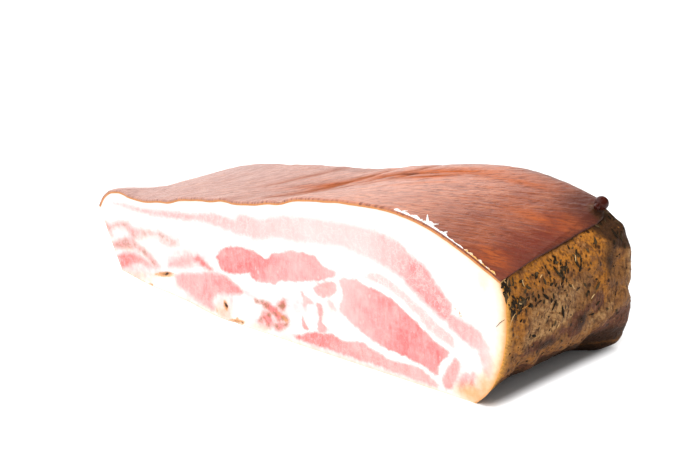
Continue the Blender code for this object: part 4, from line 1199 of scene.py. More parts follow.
def rind_skin():
    """Rind: red-brown, duller and paler to the thin end, where the paleness is partly a painted sheen, combed
    with light and dark strands along its fibres, hatched by fine pores, with thin dark lines, glowing
    patches, creases darkened by painted shade, and dark patches that are partly painted shade at its edges
    and back."""
    made, tree, shader = new_material("rind_skin", 0.4, specular=0.5)
    place = object_place(tree)
    fibre = attribute(tree, "fibre", vector=True)
    hatch = uneven(tree, fibre, 0.0013, 3.0, (0.26, 1.0, 1.0))
    strand = uneven(tree, fibre, 0.0021, 2.6, (0.13, 1.0, 1.0))
    sweep = uneven(tree, fibre, 0.0080, 2.2, (0.30, 1.0, 1.0))
    cloud = uneven(tree, place, 0.022, 2.0)
    # the pale share is partly a painted sheen by the thin end
    pale_and_sheen = attribute(tree, "pale_and_sheen")
    deep = plus(tree, attribute(tree, "deep"), linear(tree, cloud, 0.4, -0.2))
    base = blend(tree, rescale(tree, deep, 0.0, 1.0), colour("rind"), colour("rind_deep"))
    base = blend(tree, pale_and_sheen, base, colour("rind_pale_and_sheen"))
    light = times(tree, rescale(tree, strand, 0.50, 0.95), rescale(tree, sweep, 0.25, 0.75, 0.20, 0.7))
    light = times(tree, light, rescale(tree, deep, 0.0, 1.0, 1.0, 0.22))
    base = blend(tree, light, base, colour("rind_streak"))
    base = lay(tree, base, "rind_deep", sweep, 0.45, 0.05, 0.30)
    base = lay(tree, base, "rind_line", strand, 0.42, 0.0, 0.42)
    ember = times(tree, attribute(tree, "ember"), rescale(tree, strand, 0.10, 0.75, 0.45, 1.0))
    base = blend(tree, ember, base, colour("rind_ember"))
    base = lay(tree, base, "rind_line", hatch, 0.50, 0.08, 0.66)
    thin = vein_lines(tree, fibre, 0.0050, 0.040, (0.08, 1.0, 1.0))
    thin = times(tree, thin, attribute(tree, "line"))
    base = blend(tree, times(tree, thin, 0.8), base, colour("rind_line"))
    # painted shade in the creases
    crease_shaded = times(tree, attribute(tree, "crease_shade"), linear(tree, strand, 0.6, 0.6))
    base = lay(tree, base, "rind_crease_shade", crease_shaded, 0.10, 0.90, 0.75)
    # dark patches, partly painted shade at the rind's edges and back
    base = lay(tree, base, "rind_dark_and_shade", attribute(tree, "dark_patch_and_shade"), 0.0, 1.0, 0.85)
    pores = flecks_at(tree, fibre, 0.0012, 0.34, (0.45, 1.0, 1.0))
    base = blend(tree, times(tree, pores, 0.50), base, colour("rind_line"))
    sticky = attribute(tree, "sticky")
    base = lay(tree, base, "burnt", sticky, 0.15, 0.8, 0.92)
    edge = linear(tree, hatch, 0.3, attribute(tree, "amber"))
    base = lay(tree, base, "rind_rim", edge, 0.15, 1.0)

    grain = grain_at(tree, place, 0.0006)
    height = linear(tree, hatch, 0.9, grain)
    height = linear(tree, strand, 0.6, height)
    height = linear(tree, thin, -1.2, height)
    height = linear(tree, pores, -0.5, height)
    sheen = linear(tree, hatch, -0.12, 0.44)
    sheen = linear(tree, sticky, -0.2, sheen)
    sheen = linear(tree, rescale(tree, deep, 0.55, 1.1), 0.22, sheen)
    sheen = linear(tree, plus(tree, crease_shaded, ember), 0.55, sheen)
    finish_material(tree, shader, base, height, 0.5, 0.0004, sheen)
    return made


def shred_fat():
    """Torn shreds of white fat, a little stained."""
    made, tree, shader = new_material("shred_fat", 0.45, subsurface=0.2)
    place = object_place(tree)
    cloud = uneven(tree, place, 0.0022, 2.0)
    stain = times(tree, attribute(tree, "tint"), rescale(tree, cloud, 0.15, 0.7, 0.3, 1.0))
    base = blend(tree, stain, colour("fat"), colour("crust_glow"))
    grain = grain_at(tree, place, 0.0005)
    finish_material(tree, shader, base, grain, 0.3, 0.0002)
    return made


def dry_herb(name, dark, light, roughness):
    """Leaves, stalks or pepper: each piece has its own tone between dark and light, with fine grain."""
    made, tree, shader = new_material(name, roughness, specular=0.08)
    place = object_place(tree)
    cloud = uneven(tree, place, 0.0007, 2.0)
    tone = linear(tree, cloud, 0.5, attribute(tree, "tint"))
    base = blend(tree, rescale(tree, tone, 0.2, 1.3), colour(dark), colour(light))
    grain = grain_at(tree, place, 0.0004)
    finish_material(tree, shader, base, grain, 0.5, 0.0002)
    return made


def berry_skin():
    """Juniper berry: nearly black red-brown, wrinkled and moist."""
    made, tree, shader = new_material("berry_skin", 0.25, specular=0.16)
    place = object_place(tree)
    cloud = uneven(tree, place, 0.0016, 2.0)
    base = blend(tree, rescale(tree, cloud, 0.45, 1.0, 0.0, 0.35), colour("berry"), colour("rind_line"))
    grain = grain_at(tree, place, 0.0006)
    wet = linear(tree, cloud, 0.25, 0.14)
    finish_material(tree, shader, base, grain, 0.45, 0.0003, wet)
    return made


def pale_floor():
    """Nearly white floor that, for the camera alone, looks lit from below in FLOOR_GLOWS."""
    made, tree, shader = new_material("pale_floor", 0.8, specular=0.0)
    place = object_place(tree)
    cloud = uneven(tree, place, 0.3, 1.0)
    base = blend(tree, times(tree, cloud, 0.02), colour("floor"), (0.86, 0.86, 0.86, 1.0))
    tree.links.new(base, shader.inputs["Base Color"])
    glow = 0.0
    for (x, y), (half_x, half_y), full in FLOOR_GLOWS:
        middle = (x + SHIFT[0], y + SHIFT[1], 0.0)
        off = put(tree, "ShaderNodeVectorMath", ((0, place), (1, middle)), operation="SUBTRACT").outputs[0]
        scaled = ((0, off), (1, (1.0 / half_x, 1.0 / half_y, 1.0)))
        out = put(tree, "ShaderNodeVectorMath", scaled, operation="MULTIPLY").outputs[0]
        out = put(tree, "ShaderNodeVectorMath", ((0, out),), operation="LENGTH").outputs["Value"]
        glow = calculate(tree, "MAXIMUM", glow, rescale(tree, out, 1.0, full))
    seen = put(tree, "ShaderNodeLightPath").outputs["Is Camera Ray"]
    tree.links.new(times(tree, glow, seen), shader.inputs["Emission Strength"])
    shader.inputs["Emission Color"].default_value = (1.0, 1.0, 1.0, 1.0)
    return made


# ================================================================ pieces
def finer_ends(count, fine):
    """Even cuts from 0 to 1, with extra ones at the given distances in from both ends."""
    extra = [*fine, *(1.0 - step for step in fine)]
    return np.unique(np.round(np.concatenate([np.linspace(0.0, 1.0, count), extra]), 7))


BODY_CUTS = (281, 87)  # along the slab and up
BODY_CUTS_BACK = (47, 15)  # up to BACK_ROUND_START, and from there on
MEAT_SUNK, MEAT_SUNK_FROM = 0.75, 0.80  # part of the rind's thickness by which it lies lower, from which v


def make_body():
    """The meat: the slab's surface without its rind, which makes it lower by most of the rind's thickness,
    and by the rind's creases, where the rind lies on it."""
    straight, rounded = BODY_CUTS_BACK
    straight = np.linspace(0.0, BACK_ROUND_START, straight)
    back = np.concatenate([straight, np.linspace(BACK_ROUND_START, 1.0, rounded)[1:]])
    along, up = (np.linspace(0.0, 1.0, count) for count in BODY_CUTS)
    u, w, v, quads, side = box_grid(along, back, up)
    place = slab_points(u, w, v)
    sunk = MEAT_SUNK * sizes().rind_thickness + crease_depth(place[:, 0], place[:, 1])
    place[:, 2] -= sunk * ease(MEAT_SUNK_FROM, 1.0, v)
    values = body_values(u, w, v, place)
    normal = np.where((w < ON_SIDE)[:, None], (0.0, -1.0, 0.0), point_normals(place, quads))
    place = place + normal * body_relief(u, w, v, place, values)[:, None]
    place[:, 2] = np.maximum(place[:, 2], 0.0)
    materials = (fresh_cut(), smoked_crust())
    return quad_piece("bacon_meat", place, quads, materials, side != CUT, SHARP_EDGE, **values)


def flap_drop(w):
    """How far down the rind hangs over the thick end, as a part of the height."""
    return np.interp(w / BACK_ROUND_START * (DEPTH - BACK_ROUND) / MM, *np.array(FLAP).T)


def rind_top(u, w):
    """Top of the rind: the slab's, with its lip, less the creases and plus the front edge's waves. Beyond
    u = 1 it turns down and lies over the thick end, its lip's length in front of it."""
    over = np.clip((u - 1.0) / FLAP_CELLS, 0.0, 1.0)
    place = slab_points(np.minimum(u, 1.0), w, np.ones_like(u), RIND_LIP)
    hung = slab_points(np.ones_like(u), w, 1.0 - over * flap_drop(w)) + (RIND_LIP, 0.0, 0.0)
    place = np.where((over > 0.0)[:, None], hung, place)
    place[:, 2] += edge_waves(place[:, 0], place[:, 1]) - crease_depth(place[:, 0], place[:, 1])
    return place


def fibre_place(x, y):
    """Place along and across the rind's fibres. Their slope dy/dx is steep at the thin end, least over the
    middle and rises again; across them runs y less that slope summed along x."""
    station = np.linspace(*FIBRE_STATIONS)
    slope = np.interp(station, *np.array(FIBRE_SLOPES).T)
    steps = np.diff(station)
    middle = (slope[1:] + slope[:-1]) / 2
    summed = np.concatenate([[0.0], np.cumsum(middle * steps)])
    length = np.concatenate([[0.0], np.cumsum(np.sqrt(1.0 + middle**2) * steps)])
    across = FIBRE_SPREAD * (y - np.interp(x, station, summed))
    return np.stack([np.interp(x, station, length), across, np.zeros_like(x)], axis=-1)


# Where the rind is cut: along u, with extra cuts near its ends and on the flap, near the front, back and
# inward
RIND_CUTS, RIND_END_CUTS, FLAP_CUTS = 300, (0.0006, 0.0016), (0.15, 0.3, 0.5, 0.7, 0.85, 0.93, 1.0)
RIND_FRONT_CUTS, RIND_BACK_CUTS, RIND_INWARD_CUTS = (0.0, 0.0016, 0.0040, 0.0080), 111, (0.0, 0.35, 0.7, 1.0)
ROUNDED_OFF = 0.9  # how much of the rounding of its edges by half its thickness is taken
# Relief of the rind: height and noise by place, then height, noise and squeeze by place along the fibres
RIND_GRAIN = (0.00010, (0.0040, 51))
RIND_COMB = (0.00012, (0.0022, 55, 2), (0.15, 1.0, 1.0))
OVERHANG_WAVES = (0.6, 0.0037, 0.0011)  # share of the overhang that varies, and over which lengths
# the creases are darkened with painted shade, fully where they are this deep
CREASE_FULL, CREASE_MOST = 0.0010, 1.2  # a crease this deep is fully dark, and how far that goes on
STICKY_REACH, STICKY_SQUASH = 0.0058, (1.0, 1.0, 0.5)  # dark sticky skin round the berry
# paleness along x, partly a painted sheen by the thin end
PALE_AND_SHEEN_ALONG = ((-0.215, -0.150, -0.090, -0.040, 0.0), (1.0, 0.70, 0.36, 0.10, 0.0))
DEEP_ALONG, DEEP_SLANT = ((-0.085, -0.040, -0.014, 0.0), (0.0, 0.30, 0.62, 1.15)), 0.15
AMBER_LAYERS = (0.30, 1.0)  # through the rind's thickness at the cut, from amber to plain
# the painted shade of the rind's thick edge grows over this distance behind the cut
RIM_SHADE_BEHIND = 0.006


def rounding(distance, radius):
    """How far a round edge of this radius lies below the corner that it takes off, at a distance from it."""
    return radius - np.sqrt(radius**2 - np.clip(radius - distance, 0.0, radius) ** 2)


def make_rind():
    """The skin: its top is rind_top, its underside lies its thickness inward along the normal. Its front and
    thick edges are rounded at the top."""
    thickness = sizes().rind_thickness
    along = np.concatenate([finer_ends(RIND_CUTS, RIND_END_CUTS), 1.0 + FLAP_CELLS * np.array(FLAP_CUTS)])
    back = np.concatenate([RIND_FRONT_CUTS, np.linspace(0.0, 1.0, RIND_BACK_CUTS)[2:]])
    u, w, s, quads, _ = box_grid(along, back, RIND_INWARD_CUTS)
    place = rind_top(u, w)
    step = 1e-3
    ahead = rind_top(np.minimum(u + step, along[-1]), w) - rind_top(np.maximum(u - step, 0.0), w)
    behind = rind_top(u, np.minimum(w + step, 1.0)) - rind_top(u, np.maximum(w - step, 0.0))
    normal = unit(np.cross(ahead, behind))
    edge_y = w / BACK_ROUND_START * (DEPTH - BACK_ROUND)
    hanging = np.clip((u - 1.0) / FLAP_CELLS, 0.0, 1.0) * flap_drop(w) * HEIGHT
    edge_x = np.maximum(1.0 - u, 0.0) * (TIP + RIND_CORNER) + flap_drop(w) * HEIGHT - hanging
    rounded = rounding(edge_y, 0.5 * thickness) + rounding(edge_x, 0.5 * thickness)
    fibre = fibre_place(place[:, 0] + hanging, place[:, 1])
    height, noise = RIND_GRAIN
    relief = height * rough_noise(place, *noise)
    height, noise, squeeze = RIND_COMB
    relief += height * rough_noise(fibre * squeeze, *noise)
    top = place + normal * (relief * ease(0.0, 0.002, edge_y) - ROUNDED_OFF * rounded)[:, None]
    place = top - normal * (thickness * (1.0 - s))[:, None]
    varied, long_wave, short_wave = OVERHANG_WAVES
    waves = np.sin(place[:, 0] / long_wave) * np.sin(place[:, 0] / short_wave)
    place[:, 1] -= np.where(w < ON_SIDE, sizes().rind_overhang * (1.0 + varied * waves), 0.0)
    values = rind_values(top, w, s, edge_x)
    return quad_piece("bacon_rind", place, quads, (rind_skin(),), None, SHARP_EDGE, fibre=fibre, **values)


def rind_values(top, w, s, edge_x):
    """What the rind's material reads, a value a point, by the place of the top over it."""
    x, y, _ = top.T
    berry = (np.array(BERRY_LOW) + np.array(BERRY_HIGH)) / 2 - SHIFT
    from_berry = np.linalg.norm((top - berry) * STICKY_SQUASH, axis=1)
    values = {
        "pale_and_sheen": np.interp(x, *PALE_AND_SHEEN_ALONG),
        "deep": np.interp(x - DEEP_SLANT * y, *DEEP_ALONG),
        "crease_shade": np.clip(crease_depth(x, y) / CREASE_FULL, 0.0, CREASE_MOST),
        "sticky": np.exp(-((from_berry / STICKY_REACH) ** 3)),
        "amber": np.where(w < ON_SIDE, 1.0 - ease(*AMBER_LAYERS, s), 0.0),
    }
    for stain, table in RIND_STAINS.items():
        values[stain] = spots(x / MM, y / MM, table, 2)
    # painted shade where the rind turns down over the thick end
    rim = RIM_SHADE * np.exp(-edge_x / RIM_SHADE_REACH) * ease(0.0, RIM_SHADE_BEHIND, y)
    values["dark_patch_and_shade"] = np.maximum(values["dark_patch_and_shade"], rim)
    return values


class Ground:
    """The finished meat, as a surface on which small things are laid."""

    def __init__(self):
        graph = bpy.context.evaluated_depsgraph_get()
        self.tree = BVHTree.FromObject(bpy.data.objects["bacon_meat"], graph)

    def lay(self, spots, along):
        """Nearest places on the surface, normals and two tangents, for spots given as (u, w, v)."""
        smooth = slab_points(*np.array(spots, float).T) + SHIFT
        found = [self.tree.find_nearest(Vector(point)) for point in smooth]
        here = np.array([hit[0] for hit in found]) - SHIFT
        normal = np.array([hit[1] for hit in found])
        along = np.broadcast_to(np.array(along, float), normal.shape)
        first = unit(along - normal * (along * normal).sum(1, keepdims=True))
        return here, normal, first, np.cross(normal, first)


def reach_out(here, *reaches):
    """Points round each place, as (places, points, 3). Each reach is a direction at each place and how far
    along it each point lies."""
    points = here[:, None]
    for direction, distance in reaches:
        points = points + direction[:, None] * distance[..., None]
    return points


def turned(first, second, turn):
    """The direction in the surface that is turned from the first tangent to the second by an angle."""
    return first * np.cos(turn)[:, None] + second * np.sin(turn)[:, None]


def leaf_spots():
    """Every herb leaf that the solid has: (side, place along, place up, length, turn), from one seeded
    draw."""
    draw = random.Random(HERB_SEED)
    found = [("thick", w, v, length, turn) for w, v, length, turn in BIG_LEAVES]
    for (w, v), (half_w, half_v), count in CLUMPS:
        for _ in range(count):
            spot = (w + half_w * draw.uniform(-1, 1), v + half_v * draw.uniform(-1, 1))
            found.append(("thick", *spot, draw.uniform(*CLUMP_LEAF), draw.uniform(0.0, math.pi)))
    for side, count in SMALL_LEAVES:
        for _ in range(count):
            along, up = draw.uniform(*SMALL_LEAF_ALONG), draw.uniform(*SMALL_LEAF_UP)
            if side == "thick":
                along *= SMALL_LEAVES_REACH
            found.append((side, along, up, draw.uniform(*SMALL_LEAF), draw.uniform(0.0, math.pi)))
    return found


def cube_place(side, along, up):
    """(u, w, v) of a place along and up one of the slab's sides."""
    if side == "thick":
        return 1.0, along, up
    if side == "back":
        return along, 1.0, up
    return 0.0, along * BACK_ROUND_START, up


LEAF_RINGS, LEAF_CORNERS, LEAF_FOLD = 6, 6, 0.18
LEAF_SWAY, LEAF_LIFT = (0.35, 0.08), (0.3, 0.5)  # how a leaf's curl bends it to the side and up
LEAF_TIP, LEAF_EDGE, LEAF_WIDEST = 0.08, 0.35, 0.8


def leaf_strands(ground_at, length, width, turn, thickness, curl):
    """Leaves as strands: widest a third of the way along, pointed at both ends, curled up from the
    surface."""
    here, normal, first, second = ground_at
    length, width, thickness, curl = (column[:, None] for column in (length, width, thickness, curl))
    t = np.linspace(-0.5, 0.5, LEAF_RINGS)
    ahead = turned(first, second, turn)
    sideways = curl * LEAF_SWAY[0] * length * (t**2 - LEAF_SWAY[1])
    upward = LEAF_LIFT[0] * thickness + np.abs(curl) * length * LEAF_LIFT[1] * t**2
    paths = reach_out(here, (ahead, t * length), (np.cross(normal, ahead), sideways), (normal, upward))
    shape = np.clip(np.sin(math.pi * (0.5 + t) ** LEAF_WIDEST), 0.0, 1.0) * (1.0 - LEAF_TIP) + LEAF_TIP
    half_thickness = thickness * (LEAF_EDGE + (1.0 - LEAF_EDGE) * shape)
    ups = np.broadcast_to(normal[:, None], paths.shape)
    return strands(paths, ups, 0.5 * width * shape, half_thickness, LEAF_CORNERS, LEAF_FOLD)


# Heaps of small leaves: side, place along and up it, how far they spread that way, how many
HEAPS = (
    ("thick", 0.040, 0.935, 0.014, 0.026, 26), ("thick", 0.062, 0.800, 0.020, 0.022, 18),
    ("thick", 0.100, 0.770, 0.020, 0.012, 10), ("thick", 0.075, 0.720, 0.014, 0.020, 9),
    ("thick", 0.370, 0.880, 0.014, 0.032, 22), ("thick", 0.400, 0.845, 0.012, 0.016, 10),
    ("thick", 0.285, 0.860, 0.012, 0.028, 10), ("thick", 0.505, 0.890, 0.014, 0.034, 16),
    ("thick", 0.225, 0.900, 0.010, 0.012, 7), ("thick", 0.170, 0.740, 0.030, 0.040, 12),
    ("thick", 0.300, 0.730, 0.040, 0.050, 14), ("thick", 0.790, 0.860, 0.030, 0.060, 18),
    ("back", 0.300, 0.700, 0.010, 0.060, 14), ("back", 0.620, 0.560, 0.012, 0.050, 14),
    ("thin", 0.500, 0.700, 0.060, 0.080, 8),
)
HEAP_FOOT, HEAP_TOP = 0.012, 0.975  # no leaf of a heap lies lower, farther forward or higher up
HEAP_LEAF, HEAP_TURN = (0.0009, 0.0027), (1.4, 0.6)
LOOSE_BITS, LOOSE_BIT = 110, (0.0007, 0.0017)
LOOSE_FROM, LOOSE_TO, LOOSE_REACH = (0.04, 0.16), (0.94, 0.93), 0.85
LOOSE_UPWARD = 0.8  # below 1, more of the loose bits lie high up
FULL_WIDTH_LENGTH, FULL_THICKNESS_LENGTH = 0.0021, 0.0024  # shorter leaves are narrower and thinner


def make_leaves(ground):
    """Herb leaves: those of the solid, and more small bits between them."""
    draw = np.random.default_rng(HERB_SEED)
    rows = leaf_spots()
    sides = draw.choice(["thick", "thick", "back", "thin"], LOOSE_BITS)
    spots = draw.uniform(LOOSE_FROM, LOOSE_TO, (LOOSE_BITS, 2))
    for side, (along, up) in zip(sides, spots):
        reach = LOOSE_REACH if side == "thick" else 1.0
        rows.append((side, along * reach, up**LOOSE_UPWARD, draw.uniform(*LOOSE_BIT), draw.uniform(0, 3.1)))
    for side, w, v, spread_w, spread_v, count in HEAPS:
        for _ in range(count):
            spot = np.clip(draw.normal((w, v), (spread_w, spread_v)), HEAP_FOOT, HEAP_TOP)
            rows.append((side, *spot, draw.uniform(*HEAP_LEAF), draw.normal(*HEAP_TURN)))
    placed = [cube_place(*row[:3]) for row in rows]
    along = [(1.0, 0.0, 0.0) if row[0] == "back" else (0.0, 1.0, 0.0) for row in rows]
    length, turn = np.array([row[3:] for row in rows]).T
    plain, grown = LEAF_WIDTH_GROWTH
    width = LEAF_WIDTH * (plain + grown * length) * np.minimum(1.0, length / FULL_WIDTH_LENGTH)
    thickness = sizes().leaf_thickness * draw.uniform(0.6, 1.3, len(rows))
    thickness *= np.minimum(1.0, length / FULL_THICKNESS_LENGTH)
    curl = draw.uniform(-0.6, 0.6, len(rows))
    points, quads = leaf_strands(ground.lay(placed, along), length, width, turn, thickness, curl)
    tint = np.repeat(draw.uniform(0.0, 0.9, len(rows)) ** 1.5, LEAF_RINGS * LEAF_CORNERS)
    material = dry_herb("herb_leaf", "herb", "herb_light", 0.7)
    return quad_piece("herb_leaves", points, quads, (material,), tint=tint)


# Straws on the thick end: (w, v) of the middle, length as a part of the longest, turn, lift of its free end
STRAWS = (
    (0.030, 0.700, 0.95, 1.05, 0.25), (0.118, 0.735, 0.60, 0.35, 0.35), (0.010, 0.985, 0.55, 0.30, 0.30),
    (0.022, 0.972, 0.60, 2.50, 0.35), (0.040, 0.960, 0.50, 1.20, 0.30), (0.128, 0.900, 0.50, 1.70, 0.40),
    (0.360, 0.860, 0.70, 0.90, 0.15), (0.345, 0.770, 0.60, 2.30, 0.15), (0.090, 0.780, 0.45, 2.70, 0.30),
    (0.200, 0.640, 0.40, 0.90, 0.10), (0.430, 0.700, 0.45, 2.00, 0.10), (0.330, 0.480, 0.40, 1.20, 0.10),
    (0.560, 0.560, 0.50, 0.60, 0.10), (0.480, 0.860, 0.50, 1.30, 0.15), (0.240, 0.880, 0.35, 0.50, 0.15),
)
STRAW_RADIUS, STRAW_RINGS, STRAW_CORNERS = 0.00021, 7, 6
STRAW_SEED, OTHER_STRAWS = 5, ("back",) * 6 + ("thin",) * 2  # the sides of the straws outside the table


def make_straws(ground):
    """Stalks: thin bent tubes that taper to both ends, with one end lifted off the surface."""
    draw = np.random.default_rng(STRAW_SEED)
    spots = [cube_place("thick", *row[:2]) for row in STRAWS]
    rows = [row[2:] for row in STRAWS]
    for side in OTHER_STRAWS:
        spots.append(cube_place(side, draw.uniform(0.1, 0.9), draw.uniform(0.3, 0.85)))
        rows.append((draw.uniform(0.35, 0.8), draw.uniform(0.0, 3.1), draw.uniform(0.0, 0.2)))
    here, normal, first, second = ground.lay(spots, (0.0, 1.0, 0.0))
    length, turn, lift = (column[:, None] for column in np.array(rows).T)
    length = length * sizes().straw_length
    t = np.linspace(-0.5, 0.5, STRAW_RINGS)
    ahead = turned(first, second, turn[:, 0])
    sideways = draw.uniform(-0.25, 0.25, len(rows))[:, None] * length * t**2
    upward = STRAW_RADIUS + lift * length * (t + 0.5) ** 2
    paths = reach_out(here, (ahead, t * length), (np.cross(normal, ahead), sideways), (normal, upward))
    radius = np.broadcast_to(STRAW_RADIUS * (1.0 - 1.4 * np.abs(t) ** 1.5), paths.shape[:2])
    ups = np.broadcast_to(normal[:, None], paths.shape)
    points, quads = strands(paths, ups, radius * 1.2, radius * 0.8, STRAW_CORNERS)
    tint = np.repeat(draw.uniform(0.1, 0.8, len(rows)), STRAW_RINGS * STRAW_CORNERS)
    material = dry_herb("dry_stalk", "crust_gold", "straw", 0.55)
    return quad_piece("herb_straws", points, quads, (material,), tint=tint)


CRUMB_COUNT, CRUMB_SEED = 420, 77
CRUMB_ALONG, CRUMB_UP = (0.02, 0.97), (0.12, 0.95)
CRUMB_FLATTER, CRUMB_RAISED = 0.6, 0.15  # height and lift of a crumb, as parts of its size


def make_crumbs(ground):
    """Pepper and herb dust on the smoked sides: uneven little balls from a cube cut in eight."""
    draw = np.random.default_rng(CRUMB_SEED)
    side = draw.choice(["thick", "thick", "thick", "back", "thin"], CRUMB_COUNT)
    along, up = draw.uniform(*CRUMB_ALONG, CRUMB_COUNT), draw.uniform(*CRUMB_UP, CRUMB_COUNT)
    spots = [cube_place(*spot) for spot in zip(side, along, up)]
    here, normal, first, second = ground.lay(spots, (0.0, 1.0, 0.3))
    u, w, v, quads, _ = box_grid(*(np.array([0.0, 0.5, 1.0]),) * 3)
    ball = unit(np.stack([u, w, v], axis=-1) - 0.5)
    size = sizes().crumb_size * draw.uniform(0.35, 1.0, CRUMB_COUNT)[:, None] ** 1.6
    stretch = draw.uniform(0.6, 1.5, (CRUMB_COUNT, 2)) * size
    bumps = 1.0 + draw.uniform(-0.25, 0.25, (CRUMB_COUNT, len(ball)))
    ahead, aside, over = np.moveaxis(ball[None] * bumps[..., None], -1, 0)
    upward = over * CRUMB_FLATTER * size + CRUMB_RAISED * size
    along, across = ahead * stretch[:, 0:1], aside * stretch[:, 1:2]
    points = reach_out(here, (first, along), (second, across), (normal, upward))
    faces = quads[None] + (np.arange(CRUMB_COUNT) * len(ball))[:, None, None]
    tint = np.repeat(draw.uniform(0.0, 1.0, CRUMB_COUNT) ** 2, len(ball))
    material = dry_herb("pepper_crumb", "herb", "crust_brown", 0.65)
    return quad_piece("pepper_crumbs", points.reshape(-1, 3), faces.reshape(-1, 4), (material,), tint=tint)


# Torn fat along the rind's front edge, strip by strip: (x, width) stations in millimetres, and how stained
FRINGES = (
    (((-43.8, 0.3), (-42.5, 1.3), (-40.5, 0.8), (-38.5, 1.0), (-36.8, 1.7), (-34.2, 1.2), (-31.5, 1.4),
      (-30.1, 1.5), (-29.7, 0.2)), 0.0),
    (((-29.2, 0.3), (-28.3, 1.5), (-26.3, 1.8), (-24.9, 1.6), (-23.4, 0.7), (-22.3, 0.8), (-20.3, 1.3),
      (-18.8, 1.5), (-17.6, 0.8), (-15.0, 0.45), (-11.8, 0.40), (-8.9, 0.35)), 0.05),
    (((-8.4, 0.1), (-7.6, 1.1), (-6.6, 0.15), (-5.6, 1.2), (-4.4, 0.25), (-3.2, 0.8), (-2.0, 0.05),
      (-0.9, 0.9), (0.4, 0.6), (1.6, 0.1), (3.0, 0.9), (4.4, 0.1), (5.6, 0.8), (7.0, 0.1)), 0.95),
)
FRINGE_FRONT, FRINGE_RAISED = -0.0001, 0.0001  # how far back the fringes start, and how far over the rind
FRINGE_RINGS, SPIKE_RINGS, SHRED_CORNERS = 90, 7, 8
FRINGE_UP = (0.25, -0.10, 0.96)
FRINGE_THICKNESS = (0.00014, 0.16)  # half thickness: this, plus this part of the width
FRINGE_RAGGED = (1.12, 0.65, (0.0012, 91, 2), 0.12)  # the width's factor: mean, swing, noise, least
SPIKE_SWAY, SPIKE_UP, SPIKE_STAIN = (0.0006, -0.0003, 0.0), (0.5, -0.7, 0.3), 0.05
# Spikes of fat that stick up: x, depth, (x, y, z) reach, half width
SPIKES = (
    (-0.0272, 0.0012, (-0.0012, 0.0006, 0.0034), 0.00075),
    (-0.0254, 0.0016, (0.0014, 0.0020, 0.0004), 0.00050),
    (-0.0400, 0.0010, (0.0012, 0.0012, 0.0006), 0.00045),
    (-0.0192, 0.0012, (0.0008, 0.0010, 0.0006), 0.00050),
)


def rind_edge_place(x, y):
    """Top of the rind at x near its front edge, y behind it."""
    u = (x + TIP) / (TIP + RIND_CORNER)
    return rind_top(u.ravel(), (y / (DEPTH - BACK_ROUND) * BACK_ROUND_START).ravel()).reshape(*u.shape, 3)


def make_shreds():
    """Torn fat along the rind's front edge: flat strips whose width varies along x, and spikes that stick
    up."""
    t = np.linspace(0.0, 1.0, FRINGE_RINGS)
    x = np.stack([stations[0][0] * (1 - t) + stations[-1][0] * t for stations, _ in FRINGES]) * MM
    width = [np.interp(at / MM, *np.array(stations).T) for at, (stations, _) in zip(x, FRINGES)]
    width = np.stack(width) * MM
    along = np.stack([x, np.zeros_like(x), np.zeros_like(x)], axis=-1).reshape(-1, 3)
    mean, swing, noise, least = FRINGE_RAGGED
    width *= np.maximum(mean + swing * rough_noise(along, *noise).reshape(x.shape), least)
    top = rind_edge_place(x, FRINGE_FRONT + width / 2)
    top[..., 2] += FRINGE_RAISED
    ups = np.broadcast_to(FRINGE_UP, top.shape)
    plain, grown = FRINGE_THICKNESS
    strips, strip_quads = strands(top, ups, width / 2, plain + grown * width, SHRED_CORNERS)
    base_x, depth, half = np.array([(x, y, half) for x, y, _, half in SPIKES]).T
    base = rind_edge_place(base_x, depth)
    reach = np.array([spike[2] for spike in SPIKES])
    t = np.linspace(0.0, 1.0, SPIKE_RINGS)
    paths = base[:, None] + reach[:, None] * t[:, None] + np.array(SPIKE_SWAY) * (t**2)[:, None]
    half = half[:, None] * (1.0 - 0.88 * t) ** 0.8
    ups = np.broadcast_to(SPIKE_UP, paths.shape)
    spikes, spike_quads = strands(paths, ups, half, 0.45 * half, SHRED_CORNERS)
    points = np.concatenate([strips, spikes])
    quads = np.concatenate([strip_quads, spike_quads + len(strips)])
    stains = np.repeat([stain for _, stain in FRINGES], FRINGE_RINGS * SHRED_CORNERS)
    tint = np.concatenate([stains, np.full(len(spikes), SPIKE_STAIN)])
    return quad_piece("fat_shreds", points, quads, (shred_fat(),), tint=tint)


MEAT_FIBRE = ((0.0088, 0.0347), (0.0104, 0.0368), (0.0126, 0.0386))  # (x, z) along it, on the cut face
MEAT_FIBRE_RADIUS, MEAT_FIBRE_RINGS = 0.00013, 9


def make_fibre():
    """One dark dry fibre lying on the cut face near the thick end."""
    t = np.linspace(0.0, 1.0, MEAT_FIBRE_RINGS)
    x, z = (np.interp(t, (0.0, 0.5, 1.0), part) for part in np.array(MEAT_FIBRE).T)
    path = np.stack([x, np.full(len(t), -MEAT_FIBRE_RADIUS), z], axis=-1)[None]
    radius = MEAT_FIBRE_RADIUS * (1.0 - 1.2 * np.abs(t - 0.5) ** 1.5)[None]
    points, quads = strands(path, np.broadcast_to((0.0, -1.0, 0.0), path.shape), radius, radius)
    material = dry_herb("dry_fibre", "herb_light", "crust_brown", 0.6)
    return quad_piece("dry_fibre", points, quads, (material,), tint=np.full(len(points), 0.4))


BERRY_CELLS = 25
BERRY_WRINKLES = (0.00007, 0.0031, (0.0011, 61, 2))  # height, radius of the ball of noise, noise


